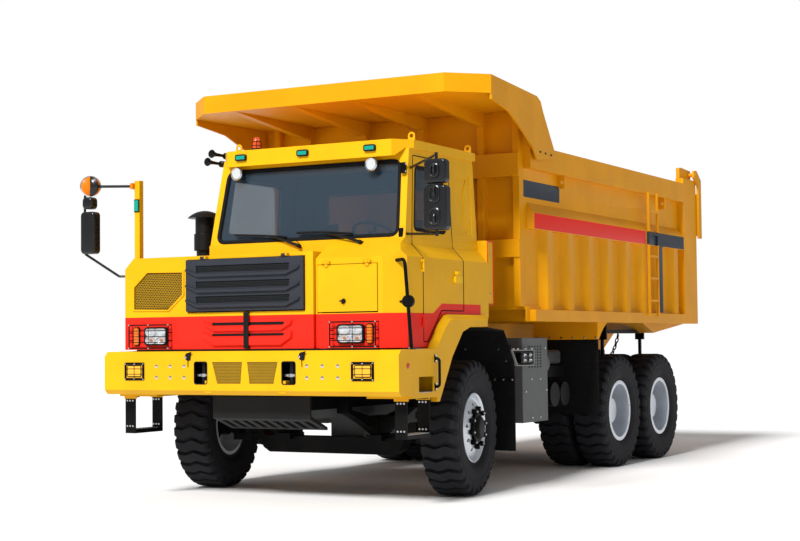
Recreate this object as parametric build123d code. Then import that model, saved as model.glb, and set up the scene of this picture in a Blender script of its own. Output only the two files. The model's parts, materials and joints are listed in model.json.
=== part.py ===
from build123d import *
from math import atan2, cos, degrees, hypot, radians, sin
import os

# Wide-body mining dump truck, six wheels on three axles, millimetres.
# The truck faces -Y, +X is its left side, +Z is up and the ground is Z = 0.
# The origin lies on the ground under the centre of the overall length.

# Overall length and axles
FRONT_OVERHANG = 1700
REAR_OVERHANG = 7300
FRONT_AXLE_Y = (FRONT_OVERHANG - REAR_OVERHANG) / 2
WHEELBASE = 4125

# Tyres and rims
TYRE_R = 685
TYRE_W = 400
TYRE_BEAD_R = 338
AXLE_Z = TYRE_R
BOGIE_SPACING = 2 * TYRE_R + 103
REAR_AXLE_YS = (FRONT_AXLE_Y + WHEELBASE, FRONT_AXLE_Y + WHEELBASE + BOGIE_SPACING)
RIM_R = 372
RIM_T = 14
RIM_W = 300
FRONT_WHEEL_X = 1458
REAR_OUTER_X = 1481
DUAL_SPACING = 470
REAR_INNER_X = REAR_OUTER_X - DUAL_SPACING
HUB_R = 150
BOLT_CIRCLE_R = 168
HUB_GAP = 0.3

# Steering
KINGPIN_X = 1080
KINGPIN_R = 34
STEER_REST = 7.4
STEER_ARM = 300
TIE_ROD_R = 24
SPINDLE_R = 60
BEAM_Z0 = AXLE_Z - 290
BEAM_Z1 = AXLE_Z - 85
BEAM_W = 170
PIN_GAP = 0.5

# Frame
RAIL_IN_X = 380
RAIL_OUT_X = 480
RAIL_Z0 = 900
RAIL_Z1 = 1220
RAIL_T = 14
RAIL_FRONT_Y = FRONT_AXLE_Y - 1370
RAIL_REAR_Y = FRONT_AXLE_Y + 6650
CROSS_H = 200

# Bumper
BUMPER_FRONT_Y = FRONT_AXLE_Y - 1685
BUMPER_HALF_W = 1709
BUMPER_Z0 = 1104
BUMPER_Z1 = 1442
BUMPER_BEVEL = 46
BUMPER_DEPTH = 235
BUMPER_T = 12

# Front panels
HOOD_FRONT_Y = FRONT_AXLE_Y - 1500
HOOD_RIGHT_X = -1590
HOOD_LEFT_X = 680
HOOD_Z0 = 1506
HOOD_Z1 = 2440
HOOD_T = 30
HOOD_CHAMFER = 110
HOOD_REAR_Y = FRONT_AXLE_Y + 400
GRILLE_X0 = -807
GRILLE_X1 = 590
GRILLE_Z0 = 1872
GRILLE_Z1 = 2405
GRILLE_T = 64
GRILLE_PROUD = 32
LID_GAP = 6
LID_GAP_FOOT = 12
LID_HINGE_OUT = 42
LID_HINGE_UP = 12
LID_HINGE_INSET = 220

# Cab
CAB_WALL = 45
CAB_LOW_X = 1620
CAB_BELT_X0 = -776
CAB_BELT_X1 = 1500
CAB_ROOF_X0 = -720
CAB_ROOF_X1 = 1450
CAB_LOW_FRONT_Y = FRONT_AXLE_Y - 1460
CAB_BELT_FRONT_Y = FRONT_AXLE_Y - 1155
CAB_ROOF_FRONT_Y = FRONT_AXLE_Y - 965
CAB_REAR_Y = FRONT_AXLE_Y + 430
CAB_Z0 = 1506
CAB_FLOOR_Z = 1860
CAB_SHOULDER_Z = 2370
CAB_BELT_Z = 2500
CAB_COWL_Z = 2560
CAB_ROOF_Z = 3440
CAB_CORNER_X = 1420
CAB_CORNER_Y = FRONT_AXLE_Y - 1340
GLASS_T = 8
WS_Z0 = 2590
WS_Z1 = 3320
WS_RADIUS = 75
WS_INSET = 92
ROOF_CAP_H = 85
ROOF_CAP_OUT = 25
VISOR_FRONT_Y = FRONT_AXLE_Y - 1090
VISOR_HALF_W = 960
VISOR_DROP = 78

# Cab door
DOOR_FRONT_Y = FRONT_AXLE_Y - 1020
DOOR_REAR_Y = FRONT_AXLE_Y - 150
DOOR_Z0 = 1560
DOOR_SILL_Z = 1862
DOOR_LEAN = 120
DOOR_Z1 = 3375
DOOR_GAP = 6
DOOR_SWING_GAP = 17
DOOR_BEVEL = 0.33
DOOR_HINGE_X = CAB_LOW_X + 14
DOOR_HINGE_Y = DOOR_FRONT_Y - 15
DOOR_HINGE_ZS = (1760, 2290)
HINGE_KNUCKLE_R = 13
HINGE_ROD_R = 7

# Fenders and steps
FENDER_OUT_X = BUMPER_HALF_W - 9
FENDER_IN_X = 1100
FENDER_LIP = 70
FENDER_T = 28
FENDER_CHAMFER = 50
FENDER_Z1 = 1826
STEP_BOX_REAR_Y = FRONT_AXLE_Y - 905
STEP_BOX_Z0 = 1030
STEP_BOX_Z1 = 1490
STEP_BOX_IN_X = 1230
STEP_BOX_T = 20

# Bed
BED_FRONT_Y = FRONT_AXLE_Y + 1400
BED_REAR_Y = FRONT_AXLE_Y + 7160
BED_WALL_X = 1590
BED_SHEET_T = 20
BED_RAIL_X = 1680
BED_FLOOR_Z = 1930
BED_RAIL_Z0 = 1771
BED_RAIL_Z1 = 1901
BED_TOP_Z = 3710
BED_TOP_RAIL_H = 260
BED_BAND_Z0 = 2783
BED_BAND_Z1 = 2965
BED_BAND_SLOPE = 115
RIB_FIRST_Y = FRONT_AXLE_Y + 1953
RIB_PITCH = 620
RIB_COUNT = 8
RIB_FACE = 145
RIB_FOOT = 330
POST_FRONT_Y = FRONT_AXLE_Y + 6616
POST_Z1 = 3785
SILL_GAP = 5
SILL_TOP_Z = 1771
SILL_FRONT_Y = FRONT_AXLE_Y + 1560
HINGE_Y = FRONT_AXLE_Y + 6480
HINGE_Z = 1350
HINGE_PIN_R = 40
HINGE_BOSS_R = 92

# Canopy
CANOPY_FRONT_Y = FRONT_AXLE_Y - 261
CANOPY_CORNER_Y = FRONT_AXLE_Y + 88
CANOPY_FRONT_X = 1481
CANOPY_SIDE_X = 1843
CANOPY_Z0 = 4084
CANOPY_Z1 = 4277
CANOPY_T = 20
CANOPY_REAR_Y = FRONT_AXLE_Y + 2050
CANOPY_FOOT_Z = 3540
CANOPY_RIB_XS = (-1120, -370, 370, 1120)
WALL_RIB_D = 90

# Tailgate
GATE_T = 110
GATE_HALF_W = 1640
GATE_Z0 = 1945
GATE_Z1 = 3600
GATE_GAP = 6
GATE_PIN_Y = FRONT_AXLE_Y + 7060
GATE_PIN_Z = 3862
GATE_PIN_R = 28
GATE_ARM_T = 30
GATE_ARM_FOOT_Z = 2975

# Hoist
HOIST_X = 625
HOIST_LOW_Y = FRONT_AXLE_Y + 2700
HOIST_LOW_Z = 790
HOIST_TOP_Y = FRONT_AXLE_Y + 4800
HOIST_TOP_Z = 1600
BARREL_R = 82
ROD_R = 52
HOIST_EYE_R = 70
BARREL_END = 260


def box(x0, x1, y0, y1, z0, z1):
    """Block between three pairs of limits."""
    return Pos((x0 + x1) / 2, (y0 + y1) / 2, (z0 + z1) / 2) * Box(x1 - x0, y1 - y0, z1 - z0)


def prism_x(outline, x0, x1):
    """Side outline of (y, z) corners, carried along X from x0 to x1."""
    face = make_face(Polyline(*[(x0, y, z) for y, z in outline], close=True))
    return extrude(face, amount=x1 - x0, dir=(1, 0, 0))


def prism_y(outline, y0, y1):
    """Front outline of (x, z) corners, carried along Y from y0 to y1."""
    face = make_face(Polyline(*[(x, y0, z) for x, z in outline], close=True))
    return extrude(face, amount=y1 - y0, dir=(0, 1, 0))


def prism_z(outline, z0, z1):
    """Plan outline of (x, y) corners, carried along Z from z0 to z1."""
    face = make_face(Polyline(*[(x, y, z0) for x, y in outline], close=True))
    return extrude(face, amount=z1 - z0, dir=(0, 0, 1))


def bar(start, end, radius):
    """Round bar between two points."""
    a, b = Vector(*start), Vector(*end)
    plane = Plane(origin=a, z_dir=b - a)
    return extrude(plane * Circle(radius), amount=(b - a).length)


def bent_bar(points, radius, bend):
    """Round bar along straight runs joined by bends of one radius."""
    path = FilletPolyline(*points, radius=bend)
    start = Plane(origin=path @ 0, z_dir=path % 0)
    return sweep(start * Circle(radius), path=path)


def on_front(outline, y, height, taper=0):
    """Form that stands out of a front wall at y, its (x, z) outline drawn in by the taper angle."""
    face = make_face(Polyline(*[(x, y, z) for x, z in outline], close=True))
    return extrude(face, amount=height, dir=(0, -1, 0), taper=taper)


def rounded_head(x, y, z0, z1, half_w, half_d):
    """Housing of a mirror: upright block with round corners and a rounded back."""
    shape = box(x - half_w, x + half_w, y - half_d, y + half_d, z0, z1)
    shape = fillet(shape.edges().filter_by(Axis.Y), HEAD_RADIUS)
    return fillet(shape.faces().sort_by(Axis.Y)[0].edges(), HEAD_BACK_RADIUS)


FROM_BASE = (Align.CENTER, Align.CENTER, Align.MIN)


def drum_x(x0, x1, y, z, radius):
    """Cylinder along X."""
    return Pos(x0, y, z) * Rot(0, 90, 0) * Cylinder(radius, x1 - x0, align=FROM_BASE)


def drum_y(x, y0, y1, z, radius):
    """Cylinder along Y."""
    return Pos(x, y0, z) * Rot(-90, 0, 0) * Cylinder(radius, y1 - y0, align=FROM_BASE)


def drum_z(x, y, z0, z1, radius):
    """Cylinder along Z."""
    return Pos(x, y, z0) * Cylinder(radius, z1 - z0, align=FROM_BASE)


def ring_x(profile):
    """Solid of revolution about the X axis of (x, radius) corners."""
    face = make_face(Polyline(*[(x, 0, r) for x, r in profile], close=True))
    return revolve(face, axis=Axis.X)


def mirrored(shape):
    """Copy on the other side of the truck."""
    return mirror(shape, about=Plane.YZ)


def both_sides(shape):
    """A shape and its mirror image as separate solids."""
    return Compound(children=[shape, mirrored(shape)])


def hinge_seat(x, y, z, wall_y):
    """Two ears on a front wall with the rod of a lid hinge between them."""
    r = HINGE_KNUCKLE_R
    ears = box(x - 42, x - 24, y, wall_y, z - r, z + r) + box(x + 24, x + 42, y, wall_y, z - r, z + r)
    for side in (-1, 1):
        ears += drum_x(x + side * 33 - 9, x + side * 33 + 9, y, z, r)
    return ears + drum_x(x - 42, x + 42, y, z, HINGE_ROD_R)


def hinge_lug(x, y, z, lid_y, lid_z):
    """Knuckle of a lid round the rod, with the tab down to the lid."""
    lug = drum_x(x - 20, x + 20, y, z, HINGE_KNUCKLE_R)
    lug += box(x - 20, x + 20, y, lid_y, lid_z, z)
    return lug - drum_x(x - 30, x + 30, y, z, HINGE_ROD_R + PIN_GAP)


# Wheels, each built about the origin with its outer side towards +X


def tyre():
    """Tyre with its crown, shoulders and beads."""
    half = TYRE_W / 2
    side_r = TYRE_R - 95
    profile = [
        (HUB_GAP - RIM_W / 2, TYRE_BEAD_R),
        (RIM_W / 2 - HUB_GAP, TYRE_BEAD_R),
        (RIM_W / 2 - HUB_GAP, RIM_R + 3),
        (half - 22, TYRE_BEAD_R + 70),
        (half, (TYRE_BEAD_R + side_r) / 2 + 20),
        (half - 12, side_r),
        (half - 40, TYRE_R - 14),
        (half - 80, TYRE_R),
        (80 - half, TYRE_R),
        (40 - half, TYRE_R - 14),
        (12 - half, side_r),
        (-half, (TYRE_BEAD_R + side_r) / 2 + 20),
        (22 - half, TYRE_BEAD_R + 70),
        (HUB_GAP - RIM_W / 2, RIM_R + 3),
    ]
    return ring_x(profile)


def rim(disc_x, hub_x0, hub_x1, hub_r):
    """Rim with its flanges, a disc at disc_x and a hub from hub_x0 to hub_x1."""
    half = RIM_W / 2
    inner = TYRE_BEAD_R - RIM_T
    shape = ring_x([
        (-half, inner),
        (half, inner),
        (half, TYRE_BEAD_R - HUB_GAP),
        (-half, TYRE_BEAD_R - HUB_GAP),
    ])
    for side in (-1, 1):
        lip = sorted((side * half, side * (half + RIM_T)))
        shape += ring_x([(lip[0], inner), (lip[1], inner), (lip[1], RIM_R), (lip[0], RIM_R)])
    shape += ring_x([(disc_x, 0), (disc_x + 22, 0), (disc_x + 22, inner), (disc_x, inner)])
    for hole in range(10):
        angle = radians(36 * hole + 18)
        reach = (BOLT_CIRCLE_R + inner) / 2 + 6
        y, z = reach * cos(angle), reach * sin(angle)
        shape -= drum_x(disc_x - 10, disc_x + 32, y, z, 27)
    shape += ring_x([(hub_x0, 0), (hub_x1, 0), (hub_x1, hub_r), (hub_x0, hub_r)])
    return shape


SPINDLE_END = 70
FRONT_DISC_X = 62
REAR_DISC_X = -86


def front_rim():
    """Front rim: disc near the outer flange and a hub bored for the spindle."""
    shape = rim(FRONT_DISC_X, -120, 150, HUB_R)
    return shape - drum_x(-130, SPINDLE_END, 0, 0, SPINDLE_R + PIN_GAP)


def rear_rims():
    """Two rims bolted back to back on one hub, bored for the axle end."""
    outer = rim(REAR_DISC_X, REAR_DISC_X - 60, 60, HUB_R)
    inner = Pos(-DUAL_SPACING, 0, 0) * Rot(0, 180, 0) * rim(REAR_DISC_X, -60, 60, HUB_R)
    join = ring_x([
        (-DUAL_SPACING + 40, 0),
        (REAR_DISC_X, 0),
        (REAR_DISC_X, HUB_R + 30),
        (-DUAL_SPACING + 40, HUB_R + 30),
    ])
    reach = -DUAL_SPACING - 100
    return outer + inner + join - drum_x(reach, -20, 0, 0, SPINDLE_R + PIN_GAP)


def steered(shape, side):
    """A piece built for straight wheels, turned about its kingpin to the parked angle."""
    pivot = Vector(side * KINGPIN_X, FRONT_AXLE_Y, 0)
    return Pos(*pivot) * Rot(0, 0, STEER_REST) * Pos(*-pivot) * shape


def placed(shape, side, x, y):
    """A wheel piece moved to its axle end, its outer side away from the truck."""
    turned = shape if side > 0 else Rot(0, 0, 180) * shape
    return Pos(side * x, y, AXLE_Z) * turned


# Front axle and steering


def front_axle_beam():
    """Forged beam with spring seats and an eye round each kingpin."""
    y0, y1 = FRONT_AXLE_Y - BEAM_W / 2, FRONT_AXLE_Y + BEAM_W / 2
    half_outline = [
        (760, BEAM_Z0),
        (840, BEAM_Z0 + 50),
        (905, EYE_Z0 + 6),
        (KINGPIN_X - 50, EYE_Z0 + 10),
        (KINGPIN_X - 50, EYE_Z1 - 30),
        (950, EYE_Z1 - 40),
        (800, BEAM_Z1 - 30),
    ]
    beam = prism_y(half_outline + [(-x, z) for x, z in reversed(half_outline)], y0, y1)
    for side in (-1, 1):
        beam += drum_z(side * KINGPIN_X, FRONT_AXLE_Y, EYE_Z0, EYE_Z1, EYE_R)
        beam += box(side * SPRING_X - 95, side * SPRING_X + 95, y0 - 60, y1 + 60, BEAM_Z1 - 60, BEAM_Z1)
        beam -= drum_z(side * KINGPIN_X, FRONT_AXLE_Y, EYE_Z0 - 10, EYE_Z1 + 10, KINGPIN_R + PIN_GAP)
    return beam


EYE_Z0 = AXLE_Z - 95
EYE_Z1 = AXLE_Z + 85
EYE_R = 74
FORK_T = 70
SPRING_X = 560
SPRING_W = 100


def knuckle(side):
    """Fork over and under the beam eye, with kingpin, spindle and steering arm."""
    fork = box(KINGPIN_X - 70, KINGPIN_X + 150, -80, 80, EYE_Z0 - FORK_T - 5, EYE_Z1 + FORK_T + 5)
    fork -= box(KINGPIN_X - 90, KINGPIN_X + EYE_R + 8, -100, 100, EYE_Z0 - 5, EYE_Z1 + 5)
    fork += drum_z(KINGPIN_X, 0, EYE_Z0 - FORK_T - 5, EYE_Z1 + FORK_T + 5, KINGPIN_R)
    spindle_end = FRONT_WHEEL_X + SPINDLE_END - 6
    fork += drum_x(KINGPIN_X + 100, spindle_end, 0, AXLE_Z, SPINDLE_R)
    fork += drum_x(KINGPIN_X + 120, KINGPIN_X + 190, 0, AXLE_Z, 105)
    arm_z0 = EYE_Z0 - FORK_T - 5
    arm_z1 = arm_z0 + 40
    arm = box(KINGPIN_X - 70, KINGPIN_X - 10, 0, STEER_ARM, arm_z0, arm_z1)
    arm += drum_z(KINGPIN_X - 40, STEER_ARM, arm_z0, arm_z1, 45)
    shape = Pos(0, FRONT_AXLE_Y, 0) * (fork + arm)
    if side < 0:
        shape = mirrored(shape)
    return steered(shape, side)


def arm_end(side):
    """Centre of the steering arm's ball joint at the parked angle."""
    angle = radians(STEER_REST)
    x, y = -side * 40, STEER_ARM
    return (
        side * KINGPIN_X + x * cos(angle) - y * sin(angle),
        FRONT_AXLE_Y + x * sin(angle) + y * cos(angle),
    )


def tie_rod():
    """Rod under the steering arms, with a ball end at each."""
    z1 = EYE_Z0 - FORK_T - 5 - 0.5
    (x0, y0), (x1, y1) = arm_end(-1), arm_end(1)
    shape = bar((x0, y0, z1 - 40), (x1, y1, z1 - 40), TIE_ROD_R)
    for x, y in (arm_end(-1), arm_end(1)):
        shape += drum_z(x, y, z1 - 75, z1, 40)
    return shape


def front_springs():
    """Leaf packs seated on the beam, shackled to the frame at both ends."""
    seat = BEAM_Z1
    outline = [
        (-700, 850),
        (-330, 700),
        (-110, seat),
        (110, seat),
        (330, 700),
        (700, 850),
        (700, 890),
        (110, seat + 170),
        (-110, seat + 170),
        (-700, 890),
    ]
    moved = [(FRONT_AXLE_Y + y, z) for y, z in outline]
    pack = prism_x(moved, SPRING_X - SPRING_W / 2, SPRING_X + SPRING_W / 2)
    pack += box(SPRING_X - 60, SPRING_X + 60, FRONT_AXLE_Y - 110, FRONT_AXLE_Y + 110, seat, seat + 200)
    for end in (-700, 700):
        y = FRONT_AXLE_Y + end
        pack += box(RAIL_OUT_X, SPRING_X + SPRING_W / 2, y - 45, y + 45, 850, 1100)
    return both_sides(pack)


# Rear axles


def rear_axles():
    """Two driven axles: tube, final drive housing and spindles in the hubs."""
    axles = []
    for y in REAR_AXLE_YS:
        inner_end = REAR_INNER_X - TYRE_W / 2 - 20
        shape = drum_x(-inner_end, inner_end, y, AXLE_Z, 115)
        housing = ring_x([(-230, 0), (230, 0), (230, 130), (120, 270), (-120, 270), (-230, 130)])
        shape += Pos(0, y, AXLE_Z) * housing
        shape += drum_y(0, y - 380, y, AXLE_Z, 110)
        spindle = REAR_OUTER_X - 26
        shape += drum_x(-spindle, spindle, y, AXLE_Z, SPINDLE_R)
        axles.append(shape)
    return Compound(children=axles)


def rear_springs():
    """Leaf packs over a central trunnion, their ends on the two axles."""
    mid = (REAR_AXLE_YS[0] + REAR_AXLE_YS[1]) / 2
    top = AXLE_Z + 115
    reach = BOGIE_SPACING / 2 + 110
    outline = [
        (mid - reach, top),
        (mid - reach + 220, top),
        (mid - 150, top + 60),
        (mid + 150, top + 60),
        (mid + reach - 220, top),
        (mid + reach, top),
        (mid + reach, top + 60),
        (mid + 150, top + 220),
        (mid - 150, top + 220),
        (mid - reach, top + 60),
    ]
    shape = prism_x(outline, RAIL_OUT_X + 10, RAIL_OUT_X + 110)
    shape += box(RAIL_OUT_X, RAIL_OUT_X + 120, mid - 150, mid + 150, top - 190, top + 240)
    return both_sides(shape)


def suspension():
    """Leaf packs of all three axles."""
    return Compound(children=front_springs().solids() + rear_springs().solids())


def prop_shafts():
    """Shaft from the gearbox to the first driven axle, and one between the two."""
    first = drum_y(0, GEARBOX_REAR_Y, REAR_AXLE_YS[0] - 380, AXLE_Z, 62)
    second = drum_y(0, REAR_AXLE_YS[0] + 270, REAR_AXLE_YS[1] - 380, AXLE_Z, 52)
    return Compound(children=[first, second])


GEARBOX_REAR_Y = FRONT_AXLE_Y + 1500


def engine_and_gearbox():
    """Engine block between the rails, with the gearbox behind it."""
    y0 = FRONT_AXLE_Y - 1080
    shape = box(-330, 330, y0, y0 + 1350, 800, 1800)
    shape += box(-200, 200, y0 + 1350, GEARBOX_REAR_Y, AXLE_Z - 130, 1180)
    return shape


def radiator():
    """Radiator core between its tanks, in front of the engine."""
    y0 = RAIL_FRONT_Y + 10
    shape = box(-700, 480, y0, y0 + 130, RAIL_Z1 + 50, 2200)
    shape += box(-720, 500, y0 - 10, y0 + 150, RAIL_Z1, RAIL_Z1 + 60)
    shape += box(-720, 500, y0 - 10, y0 + 150, 2180, 2260)
    return shape


def radiator_guard():
    """Sloped slatted guard under the bumper."""
    y0 = RAIL_FRONT_Y - 30
    outline = [(y0, 1040), (y0 + 30, 1040), (y0 + 30, 850), (y0 + 330, 730), (y0 + 330, 700), (y0, 820)]
    shape = prism_x(outline, -570, 570)
    for slot in range(9):
        x = -510 + slot * 120
        shape -= box(x, x + 60, y0 + 70, y0 + 290, 600, 1000)
    return shape


# Frame


def frame_rails():
    """Two channel rails, their cross members and the bed hinge brackets."""
    y0, y1 = RAIL_FRONT_Y, RAIL_REAR_Y
    rail = box(RAIL_IN_X, RAIL_OUT_X, y0, y1, RAIL_Z0, RAIL_Z1)
    rail -= box(RAIL_IN_X - 10, RAIL_OUT_X - RAIL_T, y0 - 10, y1 + 10, RAIL_Z0 + RAIL_T, RAIL_Z1 - RAIL_T)
    ear = [
        (HINGE_Y - 110, RAIL_Z0 + 60),
        (HINGE_Y + 110, RAIL_Z0 + 60),
        (HINGE_Y + 90, HINGE_Z + 70),
        (HINGE_Y - 90, HINGE_Z + 70),
    ]
    rail += prism_x(ear, RAIL_OUT_X, RAIL_OUT_X + 25)
    rail += prism_x([(y, max(z, RAIL_Z0 + 60)) for y, z in ear], RAIL_IN_X - 25, RAIL_IN_X)
    rail += drum_x(RAIL_IN_X - 25, RAIL_OUT_X + 25, HINGE_Y, HINGE_Z, HINGE_PIN_R)
    shape = rail + mirrored(rail)
    mid_z = (RAIL_Z0 + RAIL_Z1) / 2
    bogie_y = REAR_AXLE_YS[0] + BOGIE_SPACING / 2
    for y in (RAIL_FRONT_Y + 60, FRONT_AXLE_Y + 1700, FRONT_AXLE_Y + 2900, bogie_y, y1 - 60):
        half = RAIL_OUT_X - RAIL_T
        shape += box(-half, half, y - 50, y + 50, mid_z - CROSS_H / 2, mid_z + CROSS_H / 2)
    shape += box(-RAIL_OUT_X, RAIL_OUT_X, y1, y1 + END_PLATE_T, RAIL_Z0, RAIL_Z1)
    hoist_y = HOIST_LOW_Y
    trunnion = box(RAIL_OUT_X, RAIL_OUT_X + 45, hoist_y - 120, hoist_y + 120, HOIST_LOW_Z - 90, RAIL_Z1 - 40)
    pin_end = HOIST_X + 60
    trunnion += drum_x(RAIL_OUT_X, pin_end, hoist_y, HOIST_LOW_Z, 32)
    return shape + trunnion + mirrored(trunnion)


# Bumper


def bumper_section(inset):
    """Side outline of the bumper face, inset by the plate thickness."""
    f = BUMPER_FRONT_Y + inset
    back = BUMPER_FRONT_Y + BUMPER_DEPTH
    return [
        (f, BUMPER_Z0 + inset * 0.4),
        (f, BUMPER_Z1 - inset * 0.4),
        (f + BUMPER_BEVEL, BUMPER_Z1 + BUMPER_BEVEL - inset),
        (back + inset, BUMPER_Z1 + BUMPER_BEVEL - inset),
        (back + inset, BUMPER_Z0 - BUMPER_BEVEL + inset),
        (f + BUMPER_BEVEL, BUMPER_Z0 - BUMPER_BEVEL + inset),
    ]


TOW_SLOT_X = 512
TOW_SLOT_W = 150
TOW_SLOT_Z0 = 1168
TOW_SLOT_Z1 = 1382
FOG_X = 1325
FOG_W = 240
FOG_Z0 = 1204
FOG_Z1 = 1376


# Perforated windows as (top left x, top right x, bottom right x, bottom left x)
BUMPER_WINDOWS = ((-376, -21, -42, -315), (37, 388, 338, 64))
BUMPER_WINDOW_Z0 = 1170
BUMPER_WINDOW_Z1 = 1382
BUMPER_WINDOW_DEPTH = 8


def front_bumper():
    """Folded plate bumper with tow slots, two recessed mesh windows and lamp windows."""
    shape = prism_x(bumper_section(0), -BUMPER_HALF_W, BUMPER_HALF_W)
    inside = BUMPER_HALF_W - BUMPER_T
    shape -= prism_x(bumper_section(BUMPER_T), -inside, inside)
    f = BUMPER_FRONT_Y
    for a, b, c, d in BUMPER_WINDOWS:
        outline = [(a, BUMPER_WINDOW_Z1), (b, BUMPER_WINDOW_Z1), (c, BUMPER_WINDOW_Z0), (d, BUMPER_WINDOW_Z0)]
        shape -= prism_y(outline, f - 10, f + BUMPER_WINDOW_DEPTH)
    for side in (-1, 1):
        x = side * TOW_SLOT_X
        shape -= box(x - TOW_SLOT_W / 2, x + TOW_SLOT_W / 2, f - 10, f + 40, TOW_SLOT_Z0, TOW_SLOT_Z1)
        x = side * FOG_X
        shape -= box(x - FOG_W / 2, x + FOG_W / 2, f - 10, f + 40, FOG_Z0, FOG_Z1)
        rail_x = side * (RAIL_IN_X + RAIL_OUT_X) / 2
        shape += box(rail_x - 40, rail_x + 40, f + BUMPER_T, RAIL_FRONT_Y, 1080, 1200)
        x = side * TOW_SLOT_X
        shape += drum_z(x, f + 70, BUMPER_Z0 - BUMPER_BEVEL + BUMPER_T, TOW_SLOT_Z1 + 60, 26)
    return shape


def lamps():
    """Fog lamps in the bumper, headlamps in the front panels and lamps at the tail of the frame."""
    fog = box(
        FOG_X - FOG_W / 2, FOG_X + FOG_W / 2, BUMPER_FRONT_Y - 15, BUMPER_FRONT_Y + 60, FOG_Z0, FOG_Z1)
    shapes = [fog, mirrored(fog)]
    for x0, x1, front in HEADLAMPS:
        shapes.append(box(x0, x1, front - 35, front + 90, HEADLAMP_Z0, HEADLAMP_Z1))
    plate = RAIL_REAR_Y + END_PLATE_T
    tail = box(TAIL_LAMP_X0, TAIL_LAMP_X1, plate, plate + 55, RAIL_Z0 + 70, RAIL_Z0 + 200)
    return Compound(children=shapes + [tail, mirrored(tail)])


END_PLATE_T = 20
TAIL_LAMP_X0 = 190
TAIL_LAMP_X1 = 450


HEADLAMP_Z0 = 1518
HEADLAMP_Z1 = 1758
HEADLAMPS = [(-1503, -997, HOOD_FRONT_Y), (887, 1377, CAB_LOW_FRONT_Y)]


# Hood


def wheel_arch(x0, x1):
    """Space over the fender crown, cut from the side panels."""
    outline = [(FRONT_AXLE_Y + y, z) for y, z in CROWN]
    outline[-1] = (CAB_REAR_Y + 20, CROWN[-1][1])
    outline += [(CAB_REAR_Y + 20, 1400), (FRONT_AXLE_Y + CROWN[0][0], 1400)]
    return prism_x(outline, x0, x1)


def hood_solid(inset):
    """Closed outer form of the hood and right deck, its faces moved in by the inset."""
    t = inset
    f, back = HOOD_FRONT_Y + t, CAB_BELT_FRONT_Y - 5
    r, l, top = HOOD_RIGHT_X + t, HOOD_LEFT_X - t, HOOD_Z1 - t
    deck_x = CAB_BELT_X0 - 5
    low = HOOD_Z0 - (20 if t else 0)
    plan = [(r, f), (l, f), (l, back + t), (deck_x, back + t), (deck_x, HOOD_REAR_Y - t), (r, HOOD_REAR_Y - t)]
    bevel = [(r - 20, top - HOOD_CHAMFER - 20), (r - 20, top + 20), (r + HOOD_CHAMFER + 20, top + 20)]
    return prism_z(plan, low, top) - prism_y(bevel, f - 20, HOOD_REAR_Y + 20)


MESH_BAY = [(-1300, 2288), (-860, 2280), (-861, 2056), (-1036, 1909), (-1467, 1917), (-1466, 2142)]
MESH_BAY_RIM = 24
MESH_BAY_OUT = 13
MESH_BAY_DEPTH = 10


def mesh_bay(f):
    """Raised rim round the recessed mesh beside the grille."""
    face = make_face(Polyline(*[(x, f, z) for x, z in MESH_BAY], close=True))
    grown = offset(face, MESH_BAY_RIM, kind=Kind.INTERSECTION)
    rim = extrude(grown, amount=MESH_BAY_OUT, dir=(0, -1, 0), taper=35)
    return rim, prism_y(MESH_BAY, f - MESH_BAY_OUT - 10, f + MESH_BAY_DEPTH)


# Louvres as (left end, right end, wing, top z, drop, slot z0, slot z1)
LOUVRES_GRILLE = (
    (-650, 400, 150, 1958, 45, 1966, 2033),
    (-650, 400, 150, 2106, 45, 2114, 2181),
    (-650, 400, 150, 2263, 45, 2271, 2338),
)
LOUVRES_HOOD = (
    (-480, 318, 125, 1738, 60, 1740, 1770),
    (-480, 318, 125, 1632, 97, 1634, 1659),
)
LOUVRE_OUT = 27
LOUVRE_RISE = 50
SLOT_DEPTH = 22


def louvres(table, f):
    """Blades with rising wings on a front wall at f, and the slots above them."""
    blades, slots = [], []
    for x0, x1, wing, z, drop, slot0, slot1 in table:
        tip = z + LOUVRE_RISE - drop * 0.7
        outline = [
            (x0, z - drop),
            (x1, z - drop),
            (x1 + wing, tip),
            (x1 + wing, z + LOUVRE_RISE),
            (x1, z),
            (x0, z),
            (x0 - wing, z + LOUVRE_RISE),
            (x0 - wing, tip),
        ]
        blades.append(on_front(outline, f, LOUVRE_OUT, taper=18))
        mouth = [(x0 - 20, slot0), (x1 + 20, slot0), (x1 + 30, slot1), (x0 - 30, slot1)]
        slots.append(prism_y(mouth, f - 5, f + SLOT_DEPTH))
    return blades, slots


def hood_shell():
    """Engine hood: front wall with louvres and mesh bay, right side and deck, open below."""
    f, t = HOOD_FRONT_Y, HOOD_T
    shape = hood_solid(0) - hood_solid(t)
    rim, recess = mesh_bay(f)
    blades, slots = louvres(LOUVRES_HOOD, f)
    shape = shape + rim + blades - recess - slots
    shape -= box(GRILLE_X0, GRILLE_X1, f - 10, f + t + 10, GRILLE_Z0, GRILLE_Z1)
    x0, x1, front = HEADLAMPS[0]
    shape -= box(x0, x1, front - 10, front + t + 10, HEADLAMP_Z0, HEADLAMP_Z1)
    shape -= wheel_arch(HOOD_RIGHT_X - 20, -1000)
    for x in GRILLE_HINGE_XS:
        shape += hinge_seat(x, f - LID_HINGE_OUT, GRILLE_Z1 + LID_HINGE_UP, f)
    return shape + mirror_post()


GRILLE_HINGE_XS = (GRILLE_X0 + LID_HINGE_INSET, GRILLE_X1 - LID_HINGE_INSET)


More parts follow.
